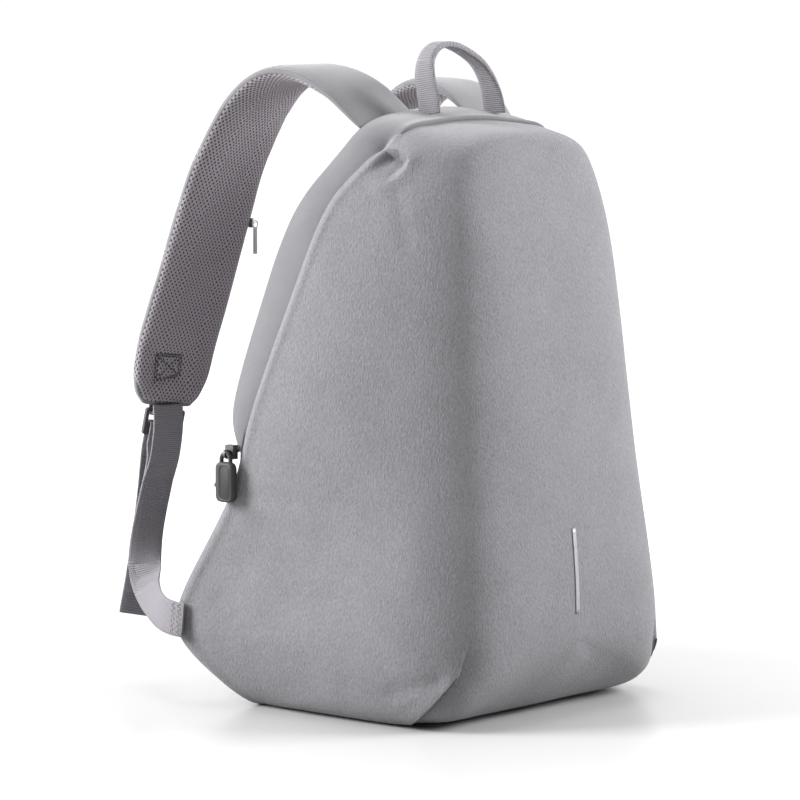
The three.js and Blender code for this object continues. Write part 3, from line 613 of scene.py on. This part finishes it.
# The dart line at the base, and the way from it to the flat facet in front
BASE_PLEAT = ((-0.1155, -0.1575, 0.0385), (-0.1191, -0.1465, 0.0270),
              (-0.1203, -0.1338, 0.0157), (-0.1210, -0.1195, 0.0030))
TO_FACET = np.array((0.76, -0.6, -0.25))

# Creases as pairs of left-hand places with a width and a depth in millimetres
SHELL_CREASES = (
    ((-0.100, -0.055, 0.396), (-0.110, -0.040, 0.372), 4.5, 0.8),
    ((-0.096, -0.081, 0.380), (-0.106, -0.100, 0.330), 6.0, 0.8),
    ((-0.128, -0.100, 0.026), (-0.1185, -0.148, 0.038), 6.5, 1.6),
    ((-0.137, -0.060, 0.030), (-0.126, -0.110, 0.024), 8.0, 0.9),
    ((-0.148, 0.020, 0.140), (-0.140, -0.060, 0.122), 7.0, 1.6),
    ((-0.148, 0.024, 0.158), (-0.140, -0.030, 0.152), 6.0, 1.1),
    ((-0.146, 0.020, 0.100), (-0.138, -0.050, 0.092), 9.0, -0.9),
    ((-0.143, -0.080, 0.100), (-0.135, -0.120, 0.090), 8.0, 0.8),
    ((-0.152, 0.050, 0.085), (-0.146, 0.004, 0.055), 8.0, 1.2),
)


def round_corner(mesh, passes=6, strength=0.6, wide=0.046):
    """Eases the turn from the side to the front, where the real cloth bulges."""
    verts = list(mesh.verts)
    for _ in range(passes):
        moved = []
        for v in verts:
            left = np.array([[-abs(v.co.x), v.co.y, v.co.z]])
            share = strength * hump(near_path(left, CORNER_LINE)[0], wide)
            if share > 0.03 and not v.is_boundary:
                middle = sum((e.other_vert(v).co for e in v.link_edges), Vector())
                moved.append((v, v.co.lerp(middle / len(v.link_edges), share)))
        for v, place in moved:
            v.co = place


def in_outline(outline, u, v):
    """Which points lie inside a flat outline."""
    inside = np.zeros(len(u), bool)
    for (au, av), (bu, bv) in zip(outline, outline[1:] + outline[:1]):
        crosses = (av > v) != (bv > v)
        inside ^= crosses & (u < au + (v - av) / (bv - av + 1e-12) * (bu - au))
    return inside


def top_pleat(points):
    """A tuck whose mouth opens below the rim band: how far it lifts, and its edge's overhang."""
    flat = points[:, 1:]
    near = points[:, 0] < -0.06
    inside = in_outline(PLEAT_EDGE, flat[:, 0], flat[:, 1]) & near
    mouth, ridge = near_path(flat, PLEAT_EDGE[:4]), near_path(flat, PLEAT_EDGE[3:7])
    open_side = near_path(flat, PLEAT_EDGE[6:] + PLEAT_EDGE[:1])
    wall = np.minimum(ramp(mouth, 0, 0.0032), ramp(ridge, 0, 0.0075))
    wall = np.minimum(wall, ramp(open_side, 0, 0.0130))
    hollow = PLEAT_DEPTH * wall * wall * (3 - 2 * wall) * np.exp(-mouth / 0.0120)
    lip = (1.5 * hump(mouth, 0.0060) + 1.2 * hump(ridge, 0.0070)) * near
    overhang = np.where(inside, 0, 0.8 * np.exp(-mouth / 0.0040)) * near
    return np.where(inside, lip * 0.5 - hollow, lip) * MM, overhang * MM


def base_pleat(points):
    """The dark dart line at the base, with the front's flat facet tucked behind it."""
    away, side = np.full(len(points), FAR), np.zeros(len(points))
    for start, end in zip(BASE_PLEAT, BASE_PLEAT[1:]):
        far, share = near_line(points, start, end)
        near = far < away
        away[near] = far[near]
        nearest = np.array(start) + share[:, None] * (np.array(end) - np.array(start))
        side[near] = ((points - nearest) @ TO_FACET)[near]
    line = -3.2 * hump(away, 0.0013)
    swell = np.where(side < 0, 1.6 * hump(away, 0.008), 0)
    facet = np.where(side > 0.0002, 3.4 * hump(away, 0.019), 0)
    return (line + swell - facet) * MM


def refine(piece, centres, reach):
    """Divides the mesh once more around places with fine folds."""
    mesh = bmesh.new()
    mesh.from_mesh(piece.data)
    edges = [e for e in mesh.edges if any(
        ((e.verts[0].co + e.verts[1].co) / 2 - c).length < reach for c in centres)]
    bmesh.ops.subdivide_edges(mesh, edges=edges, cuts=1, use_grid_fill=True, smooth=0)
    mesh.to_mesh(piece.data)
    mesh.free()


# The shell's top edge, drawn in between these heights and half widths, and the hem's relief
BROW_DEPTH = 3.4
BROW_HEIGHT = (0.380, 0.410)
BROW_HALF_WIDTH = (0.105, 0.055)
HEM_SWELL, HEM_DIP = 0.9, 0.9


def sculpt_shell(piece):
    """Folds and soft unevenness, more on the lower half than near the rim."""
    points, normals = points_of(piece), normals_of(piece)
    left = points.copy()
    left[:, 0] = -np.abs(points[:, 0])
    high = points[:, 2]
    low = ramp(high, 0.30, 0.05)
    pleat, overhang = top_pleat(left)
    depth = base_pleat(left)
    for start, end, wide, deep in SHELL_CREASES:
        depth -= fold(left, start, end, wide * MM, deep * MM)
    above_base = ramp(high, 0, 0.02)
    depth += ripple(points, 0.085, 1.5 * MM, (1, 1, 0.6), 3.1) * (0.5 + low) * above_base
    depth += ripple(points, 0.030, 0.30 * MM, (1, 1, 0.7), 7.7) * (0.3 + low) * above_base
    rim = np.array([points[i] for i in open_edge(piece)])
    tree = KDTree(len(rim))
    for i, p in enumerate(rim):
        tree.insert(p, i)
    tree.balance()
    gap = np.array([tree.find(p)[2] for p in points])
    ease = CORNER_EASE - CORNER_LEAN * np.sign(points[:, 0])
    depth -= ease * MM * hump(near_path(left, CORNER_LINE), 0.030)
    brow = ramp(high, *BROW_HEIGHT) * ramp(-left[:, 0], *BROW_HALF_WIDTH)
    depth -= BROW_DEPTH * MM * brow * hump(gap, 0.030)
    depth += (HEM_SWELL * hump(gap - 0.005, 0.003) - HEM_DIP * np.exp(-gap / 0.0015)) * MM
    depth += pleat * ramp(gap, 0.002, 0.009)
    drop = np.array((0, 0.45, -0.9)) * (overhang * ramp(gap, 0, 0.004))[:, None]
    move_to(piece, points + normals * depth[:, None] + drop)


def open_edge(piece):
    """The vertices round an open skin's edge, in order."""
    mesh = bmesh.new()
    mesh.from_mesh(piece.data)
    edges = [e for e in mesh.edges if e.is_boundary]
    order, edge = [], edges[0]
    vert, used = edge.verts[0], set()
    while edge is not None:
        used.add(edge)
        order.append(vert.index)
        vert = edge.other_vert(vert)
        edge = next((e for e in vert.link_edges if e.is_boundary and e not in used), None)
    mesh.free()
    return order


def edge_roll(name, piece, finish, radius, inward, outward):
    """A thin roll of cloth or tape along a skin's open edge; its sizes are in millimetres."""
    order = open_edge(piece)
    spots = [piece.data.vertices[i].co.copy() for i in order]
    normals = [piece.data.vertices[i].normal.copy() for i in order]
    mesh, rings = bmesh.new(), []
    count = len(spots)
    centre = sum(spots, Vector()) / count
    for i in range(0, count, 2):
        way = (spots[(i + 3) % count] - spots[i - 3]).normalized()
        out = normals[i]
        side = way.cross(out).normalized()
        body = piece.data.vertices[order[i]].co - centre
        side = side if side.dot(body) > 0 or side.y > 0.2 else -side
        middle = spots[i] - out * inward * MM + side * outward * MM
        rings.append([mesh.verts.new(middle + (side * math.cos(a) + out * math.sin(a))
                                     * radius * MM)
                      for a in [n * math.pi / 4 for n in range(8)]])
    join_rings(mesh, rings + rings[:1], capped=False)
    bmesh.ops.recalc_face_normals(mesh, faces=mesh.faces)
    roll = made(name, mesh, finish)
    lay_flat(roll, (0, 0.3, 1), (1, 0, 0))
    return roll


FRONT_MIDDLE = Vector((0, -0.17, 0.10))
PLEAT_PLACE = Vector((-0.091, -0.076, 0.393))
FINE_FOLD_REACH = 0.017

# Narrow faces at the foot of the front's middle are joined before the skin is smoothed
skin = plain_skin("front_shell", 60)
outer_only(skin, FRONT_MIDDLE)
spine = [v for v in skin.verts if abs(v.co.x) < MM and v.co.y < -0.15 and v.co.z < 0.062]
bmesh.ops.remove_doubles(skin, verts=spine, dist=9 * MM)
bmesh.ops.holes_fill(skin, edges=skin.edges, sides=6)
round_corner(skin)
shell = made("moulded_shell", skin, CLOTH, levels=3, sources=["front_shell"])
fine_places = [PLEAT_PLACE, *[Vector(p) for p in BASE_PLEAT]]
refine(shell, fine_places + mirrored(fine_places), FINE_FOLD_REACH)
sculpt_shell(shell)
edge_roll("shell_hem", shell, CLOTH, radius=1.15, inward=1.1, outward=-0.4)
# A dark tube rolled along inside the gap under the shell's hem: the hidden zip runs there, and
# the dark line this tube draws along the seam is painted shade.
edge_roll("hidden_zip_tape_seam_shade", shell, COIL, radius=1.1, inward=2.3, outward=0.9)
SHELL_FACE = surface_of(shell)
STRIP_HEIGHTS = (0.0740, 0.094, 0.114, 0.1345)
# A dark thread cord sunk along each base dart: the dark line it draws is painted shade of the
# dart's fold.
for side, path in (("left", BASE_PLEAT), ("right", mirrored([Vector(p) for p in BASE_PLEAT]))):
    line = on_surface(smooth_path(path), SHELL_FACE, lift=-0.1 * MM)
    swept(f"base_dart_shade_seam_{side}", line, [Vector((0, 0.5, -1))], 1.1 * MM, 1.0 * MM,
          DARK_THREAD, corners=6, square=1.0)
strip = on_surface(smooth_path([(0.0, FRONT_MIDDLE.y, z) for z in STRIP_HEIGHTS]),
                   SHELL_FACE, Vector((0, -1, 0)), lift=0.35 * MM)
tape = swept("reflective_tape", strip, [Vector((1, 0, 0))], 3.9 * MM, 0.8 * MM, TAPE,
             corners=12, square=0.4)
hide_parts("reflective_strip")


def soften(piece, pitch, depth, seed):
    """Breaks up a surface that is too even for cloth."""
    points = points_of(piece)
    move_to(piece, points + normals_of(piece) * ripple(points, pitch, depth,
                                                       seed=seed)[:, None])


# The rim band, its knit crowned over the top of the bag
BAND_CROWN = 3.6 * MM
band = made("knit_rim_band", plain_skin("rim_band", 40), BAND_KNIT, levels=3,
            sources=["rim_band"])
points, rise = points_of(band), normals_of(band)
crown = ramp(points[:, 2], 0.365, 0.415) * np.clip(rise[:, 2], 0, 1)
move_to(band, points + rise * (crown * BAND_CROWN)[:, None])
soften(band, pitch=0.035, depth=0.5 * MM, seed=2.2)

# The padded back: two columns of soft pads with air channels between them
PAD_SWELL, CHANNEL_DIP, CHANNEL_WIDTH = 2.6, 0.8, 0.011
CHANNEL_HEIGHTS = (0.118, 0.215, 0.312)
CHANNEL_SLOPE = 0.12
panel = made("padded_back", plain_skin("back_panel", 50), PANEL_MESH, levels=2,
             sources=["back_panel"])


def sculpt_panel(piece):
    """Swells the pads on the back's outer face, and leaves its edge flat."""
    points, normals = points_of(piece), normals_of(piece)
    x, z = np.abs(points[:, 0]), points[:, 2]
    outward = np.clip(normals[:, 1], 0, 1)
    inset = ramp(x, 0.118, 0.098) * ramp(z, 0.03, 0.05) * ramp(z, 0.40, 0.37)
    channel = hump(x, CHANNEL_WIDTH)
    for level in CHANNEL_HEIGHTS:
        channel = np.maximum(channel, hump(z - level - CHANNEL_SLOPE * x, CHANNEL_WIDTH))
    depth = (PAD_SWELL * (1 - channel) - CHANNEL_DIP * channel) * MM * inset * outward ** 2
    move_to(piece, points + normals * depth[:, None])


sculpt_panel(panel)
lay_flat(panel)

# Shoulder straps: the knit cover, the mesh pad under it, and the sewn box at the lower end
BOX_CORNERS = [Vector(p) for p in (
    (-0.1166, 0.1378, 0.2481), (-0.0959, 0.1325, 0.2464), (-0.0955, 0.1352, 0.2305),
    (-0.1155, 0.1412, 0.2270))]


STRAP_HALF_WIDTH = 0.033

# Length, gap and thickness of each kind of stitch, in millimetres
BOX_STITCH = (2.4, 0.8, 0.46)
EDGE_STITCH = (2.4, 1.2, 0.24)
ZIGZAG_STITCH = (3.9, 0.3, 0.24)
BOX_INSET = 0.16         # how far the box's second round lies towards its middle


def lay_of(piece):
    """The lay that was written on a piece."""
    flat = np.empty(len(piece.data.vertices) * 3)
    piece.data.attributes["lay"].data.foreach_get("vector", flat)
    return flat.reshape(-1, 3)


def puff(piece, swell, pinch):
    """Crowns a pad between its two edges."""
    lay, normals = lay_of(piece), normals_of(piece)
    share = ramp(np.abs(lay[:, 1]), 0, STRAP_HALF_WIDTH)
    sewn_end = ramp(lay[:, 0], 0, 0.02)
    face = np.clip(1 - np.abs(normals[:, 0]) * 1.2, 0, 1)
    depth = (swell * (1 - share ** 3) - pinch * share ** 8) * sewn_end * face
    move_to(piece, points_of(piece) + normals * (depth * MM)[:, None])


def pinch_in(piece, rows):
    """Draws a pad in along rows of stitches."""
    points, depth = points_of(piece), 0
    for start, end in rows:
        away, _ = near_line(points, start, end)
        depth = np.maximum(depth, 1.7 * hump(away, 0.0026) + 1.8 * hump(away, 0.010))
    move_to(piece, points - normals_of(piece) * (depth * MM)[:, None])


def strap_edge(piece, side):
    """The line of a pad's edge, found from its outermost points at each step along it."""
    points, lay = points_of(piece), lay_of(piece)
    line = []
    end = lay[:, 0].max()
    for start in (*np.arange(0.004, end - 0.010, 0.012), end - 0.002):
        here = np.abs(lay[:, 0] - start) < (0.007 if start < end - 0.010 else 0.003)
        if not here.any():
            continue
        reach = (lay[here, 1] * side).max()
        outer = here & (lay[:, 1] * side > reach - 0.0025)
        line.append(Vector(points[outer].mean(axis=0)))
    return line


# Corners round the pad's section, and its thickness in millimetres under and over its edge
PAD_CORNERS = 32
PAD_UNDER, PAD_UNDER_GROWTH = 4.4, 3.6
PAD_OVER, PAD_OVER_AT_END = 0.9, 3.9


def strap_pad(name, outer, inner):
    """A crowned foam pad in spacer mesh that wraps round to the cover's two edges."""
    mesh, rings, lay = bmesh.new(), [], []
    outer, inner = smooth_path(outer, 3), smooth_path(inner, 3)
    count, run = min(len(outer), len(inner)), 0.0
    across = inner[count - 1] - outer[count - 1]
    for line, sign in ((outer, 1), (inner, -1)):
        ahead = (line[count - 1] - line[count - 4]).normalized()
        last = line[count - 1]
        line[count:] = [last + ahead * step * MM + across * sign * share
                        for step, share in ((2.0, 0.04), (3.6, 0.14))]
    count += 2
    centres = [(outer[i] + inner[i]) / 2 for i in range(count)]
    low = count - 8
    facing = (centres[low] - centres[low - 2]).cross(outer[low] - inner[low])
    facing = 1 if facing.y < 0 else -1
    for i, centre in enumerate(centres):
        way = (centres[min(i + 1, count - 1)] - centres[max(i - 1, 0)]).normalized()
        side = (outer[i] - inner[i]) / 2
        half = side.length + 0.4 * MM
        side = (side - way * side.dot(way)).normalized()
        up = way.cross(side) * facing
        from_end = (count - 1 - i) / 8
        full = math.sqrt(1 - (1 - min(from_end, 1)) ** 2)
        under = (PAD_UNDER + PAD_UNDER_GROWTH * min(1, i / 14)) * (0.35 + 0.65 * full)
        over = PAD_OVER + PAD_OVER_AT_END * max(0, 1 - from_end * 2)
        ring = []
        for n in range(PAD_CORNERS):
            a = 2 * math.pi * n / PAD_CORNERS - math.pi / 2
            u, v = fuller(math.cos(a), 0.55) * half, fuller(math.sin(a), 0.80)
            v *= (under if v > 0 else over) * MM
            ring.append(mesh.verts.new(centre + side * u + up * (v - 0.4 * MM)))
        rings.append(ring)
        run += (centre - centres[max(i - 1, 0)]).length
        turn = [0.0]
        for n in range(1, PAD_CORNERS):
            turn.append(turn[-1] + (ring[n].co - ring[n - 1].co).length)
        middle = turn[PAD_CORNERS // 2]
        lay += [(run, t - middle, abs(t - middle)) for t in turn]
    join_rings(mesh, rings)
    bmesh.ops.recalc_face_normals(mesh, faces=mesh.faces)
    piece = made(name, mesh, STRAP_MESH)
    write_lay(piece, lay)
    smooth = piece.modifiers.new("smooth", "SUBSURF")
    smooth.levels = smooth.render_levels = 2
    settle(piece)
    piece.data.shade_smooth()
    return piece


for side, route in (("left", STRAP_ROUTE), ("right", mirrored(STRAP_ROUTE))):
    cover = made(f"strap_top_{side}", plain_skin(f"strap_cover_{side}", 40), COVER_KNIT,
                 levels=2, sources=[f"strap_cover_{side}"])
    lay_along(cover, route)
    edges = [strap_edge(cover, -1), strap_edge(cover, 1)]
    puff(cover, swell=1.4, pinch=0.9)
    soften(cover, pitch=0.030, depth=0.5 * MM, seed=4.0)
    under = strap_pad(f"strap_lining_{side}", *edges)
    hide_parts(f"strap_mesh_{side}")
    box = BOX_CORNERS if side == "left" else mirrored(BOX_CORNERS)
    pinch_in(under, list(zip(box, box[1:] + box[:1])) + [(box[0], box[2]), (box[1], box[3])])
    soften(under, pitch=0.024, depth=0.7 * MM, seed=5.0)
    lining, tops = surface_of(under), surface_of(cover)
    from_bag = Vector((-0.25 if side == "left" else 0.25, -0.95, -0.17))
    for turn in range(2):
        stitches(f"strap_box_{side}_{turn}", box + box[:1], lining, DARK_THREAD,
                 *BOX_STITCH, side=from_bag)
        box = [p + (sum(box, Vector()) / 4 - p) * BOX_INSET for p in box]
    for n in (0, 1):
        stitches(f"strap_cross_{side}_{n}", [box[n], box[n + 2]], lining, DARK_THREAD,
                 *BOX_STITCH, side=from_bag)
    for edge, line in zip((-1, 1), edges):
        inset = [p - Vector((edge * 5.0 * MM, 0, 0)) for p in smooth_path(line, 4)[4:-4]]
        stitches(f"strap_edge_{side}_{'outer' if edge < 0 else 'inner'}", inset, tops,
                 THREAD, *EDGE_STITCH)

# Lower strap webbing, and the tab that holds the ladder lock
for side, route, across in (
        ("left", WEBBING_ROUTE, WEBBING_ACROSS),
        ("right", mirrored(WEBBING_ROUTE), mirrored(WEBBING_ACROSS))):
    tape = made(f"strap_tape_{side}", plain_skin(f"webbing_{side}", 50), STRAP_TAPE,
                levels=2, sources=[f"webbing_{side}"])
    lay_along(tape, route, across)
    loop = made(f"lock_loop_{side}", plain_skin(f"lock_tab_{side}", 50), STRAP_TAPE,
                levels=2, sources=[f"lock_tab_{side}"])
    lay_along(loop, [route[-2], route[-1]], [across[-2]])

# The tape's turn over the ladder lock's bar, and its zig-zag rows on the wing
LOCK_TURN = [Vector(p) for p in (
    (-0.1115, 0.1478, 0.1480), (-0.1085, 0.1460, 0.1580), (-0.1066, 0.1432, 0.1700),
    (-0.1058, 0.1412, 0.1820), (-0.1052, 0.1404, 0.1920), (-0.1048, 0.1404, 0.2000),
    (-0.1045, 0.1414, 0.2100))]
ZIGZAG = [Vector((-0.17, 0.0700 + 0.0042 * (i % 2), 0.0515 + 0.0019 * i)) for i in range(13)]
for side in ("left", "right"):
    turn = LOCK_TURN if side == "left" else mirrored(LOCK_TURN)
    rows = ZIGZAG if side == "left" else mirrored(ZIGZAG)
    outward = Vector((-1 if side == "left" else 1, 0, 0))
    swept(f"lock_turn_{side}", smooth_path(turn),
          [Vector((0.965, -0.26 if side == "left" else 0.26, 0))], WEBBING_WIDTH, 1.5 * MM,
          STRAP_TAPE, corners=16, square=0.35)
    wing = surface_of(bpy.data.objects[f"strap_tape_{side}"], shell)
    for shift in (0.0, 0.0062):
        stitches(f"wing_zigzag_{side}_{int(shift * 1000)}",
                 [p + Vector((0, shift, 0)) for p in rows], wing, THREAD,
                 *ZIGZAG_STITCH, side=outward)

# The grab handle, and the zip's coil moved out to the band's edge above the slider
handle = made("folded_handle", plain_skin("grab_handle", 50), HANDLE_TAPE, levels=2,
              sources=["grab_handle"])
lay_along(handle, HANDLE_ROUTE, [Vector((0, 1, 0))] * len(HANDLE_ROUTE))

chain = made("coil_run", plain_skin("zip_chain", 50), COIL, levels=1,
             sources=["zip_chain"])
lay_flat(chain, (0, 0.2, 1), (1, 0, 0))
points = points_of(chain)
above = ramp(points[:, 2], 0.186, 0.198)[:, None]
move_to(chain, points + above * np.array((0.0065, -0.004, 0)))


def rounded_plate(mesh, low, high, depths, radius):
    """Rings of a rounded upright plate in the depth and height plane, one per level."""
    rings = []
    for x, shrink in depths:
        ring = []
        for cy, cz, start in ((high[0], high[1], 0), (low[0], high[1], 1),
                              (low[0], low[1], 2), (high[0], low[1], 3)):
            for n in range(5):
                a = (start + n / 4) * math.pi / 2
                r = radius - shrink
                y = cy - math.copysign(radius, cy - (low[0] + high[0]) / 2) + r * math.cos(a)
                z = cz - math.copysign(radius, cz - (low[1] + high[1]) / 2) + r * math.sin(a)
                ring.append(mesh.verts.new((x, y, z)))
        rings.append(ring)
    join_rings(mesh, rings, capped=False)
    return rings


# The zip puller: a moulded frame round an inlay painted darker as shade on its broad face, with a
# neck and a small ear
low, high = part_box("zip_puller")
RIM, INLAY_RADIUS = 1.2 * MM, 3.6 * MM
inner_x, outer_x = high.x + 0.2 * MM, low.x - RIM
frame_low = (low.y - RIM, low.z + 2 * MM)
frame_high = (high.y + RIM, high.z - 7 * MM)
inlay_low = (frame_low[0] + 1.8 * MM, frame_low[1] + 2.2 * MM)
inlay_high = (frame_high[0] - 5.2 * MM, frame_high[1] - 2.6 * MM)


def levels(*rows):
    """Places and shrinks of a plate's rings, given in millimetres from its outer face."""
    return [(outer_x + inward * MM, shrink * MM) for inward, shrink in rows]


mesh = bmesh.new()
frame_rings = rounded_plate(mesh, frame_low, frame_high, [
    (inner_x, 1.5 * MM), (inner_x - 0.8 * MM, 0.3 * MM), (inner_x - 2 * MM, 0),
    *levels((2.2, 0), (0.8, 0.4), (0, 1.6))], 4.8 * MM)
mesh.faces.new(frame_rings[0][::-1])
recess = rounded_plate(mesh, inlay_low, inlay_high, levels((0, 0), (0.5, 0.3)), INLAY_RADIUS)
join_rings(mesh, [frame_rings[-1], recess[0]], capped=False)
bmesh.ops.recalc_face_normals(mesh, faces=mesh.faces)
pull = made("moulded_pull", mesh, PULLER_RUBBER, body="puller")
mesh = bmesh.new()
plate = rounded_plate(mesh, inlay_low, inlay_high, levels((1.6, 0), (0.6, 0), (0.2, 0.6)),
                      INLAY_RADIUS)
mesh.faces.new(plate[0][::-1])
mesh.faces.new(plate[-1])
bmesh.ops.recalc_face_normals(mesh, faces=mesh.faces)
made("puller_inlay", mesh, PULLER_SHADED_FACE, body="puller")
neck_foot = Vector(((inner_x + outer_x) / 2, (low.y + high.y) / 2, frame_high[1]))
neck = [neck_foot + Vector((0, y, z)) * MM for y, z in (
    (-4.5, -2), (-4.2, 3), (-2, 6.2), (0, 7.2), (2, 6.2), (4.2, 3), (4.5, -2))]
swept("puller_neck", smooth_path(neck), [Vector((1, 0, 0))], 3.4 * MM, 2.4 * MM,
      PULLER_RUBBER, corners=10, square=0.7, body="puller")
ear = [Vector((outer_x, high.y, low.z)) + Vector(step) * MM
       for step in ((3, 0.8, 14), (2.6, 2.6, 15))]
swept("puller_ear", ear, [Vector((0, 0, 1))], 4.5 * MM, 2.2 * MM, PULLER_RUBBER,
      corners=10, square=0.8, body="puller")
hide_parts("zip_puller")

# Hard pieces keep their solids and take a full finish
for node, finish in (
        ("ladder_lock_left", LOCK_PLASTIC), ("ladder_lock_right", LOCK_PLASTIC),
        ("zip_slider", DARK_METAL),
        ("pocket_slider", BRIGHT_METAL), ("pocket_pull", BRIGHT_METAL)):
    slots = NODES[node].data.materials
    if not slots:
        slots.append(finish)
    for i in range(len(slots)):
        slots[i] = finish


# Floor, lights and the camera at the photograph's angle
FLOOR_HALF = 40
GLOW_START, GLOW_END, GLOW = 260, 900, 0.62      # millimetres from the bag, and how much
AIM = Vector((0, 0, 0.2))


def floor_finish():
    """Pale floor that melts into the white cove a little way from the bag."""
    f = Finish("pale_floor", Base_Color=grey(0.465, 1, 1), Roughness=0.27,
               Specular_IOR_Level=0.3, Emission_Strength=1.0)
    x, y, _ = f.axes(f.place())
    far = (x * x + y * y).sum("SQRT").between(GLOW_START, GLOW_END)
    glow = f.mix(far, (0, 0, 0, 1), (GLOW, GLOW, GLOW, 1))
    f.tree.links.new(glow.socket, f.shader.inputs["Emission Color"])
    return f.done()


mesh = bmesh.new()
bmesh.ops.create_grid(mesh, x_segments=4, y_segments=4, size=FLOOR_HALF)
floor_data = bpy.data.meshes.new("studio_floor")
mesh.to_mesh(floor_data)
mesh.free()
floor = bpy.data.objects.new("studio_floor", floor_data)
bpy.context.scene.collection.objects.link(floor)
floor.data.materials.append(floor_finish())


def softbox(name, place, size, watts):
    """A rectangular light, with a width and height in metres, turned to the bag."""
    data = bpy.data.lights.new(name, "AREA")
    data.shape, data.size, data.size_y = "RECTANGLE", size[0], size[1]
    data.energy = watts
    light = bpy.data.objects.new(name, data)
    light.location = place
    light.rotation_euler = (AIM - Vector(place)).to_track_quat("-Z", "Y").to_euler()
    bpy.context.scene.collection.objects.link(light)


AZIMUTH, ELEVATION, DISTANCE = math.radians(-48), math.radians(5.5), 2.4
LENS, SENSOR = 145.8, 36
TARGET = Vector((0, 0.00242, 0.215))
TO_CAMERA = Vector((math.sin(AZIMUTH) * math.cos(ELEVATION),
                    -math.cos(AZIMUTH) * math.cos(ELEVATION), math.sin(ELEVATION)))


COVE, DIMMED = 1.02, 0.70        # the cove's light, and how much less the room in front has


def studio_world():
    """A white cove behind the bag that falls off to a dimmer room in front of it."""
    world = bpy.data.worlds.new("studio")
    world.use_nodes = True
    room = Patterns(world.node_tree)
    way = room.add("ShaderNodeTexCoord")
    front = room.add("ShaderNodeVectorMath", {"operation": "DOT_PRODUCT"},
                     {0: way, 1: tuple(TO_CAMERA)}, out=1)
    light = COVE - front.between(-0.35, 0.7) * DIMMED
    world.node_tree.links.new(light.socket, world.node_tree.nodes["Background"].inputs[1])
    world.node_tree.nodes["Background"].inputs[0].default_value = (1, 1, 1, 1)
    bpy.context.scene.world = world
    bpy.context.scene.view_settings.view_transform = "Standard"


softbox("left_softbox", (-1.50, 1.15, 1.1), (0.9, 1.2), 96)
softbox("front_softbox", (1.35, -1.45, 1.1), (0.9, 1.1), 76)
softbox("top_softbox", (0.1, 0.2, 2.1), (1.2, 1.2), 22)
studio_world()

lens = bpy.data.cameras.new("photo_camera")
lens.lens, lens.sensor_width = LENS, SENSOR
camera = bpy.data.objects.new("photo_camera", lens)
camera.location = TARGET + TO_CAMERA * DISTANCE
camera.rotation_euler = (-TO_CAMERA).to_track_quat("-Z", "Y").to_euler()
bpy.context.scene.collection.objects.link(camera)
bpy.context.scene.camera = camera
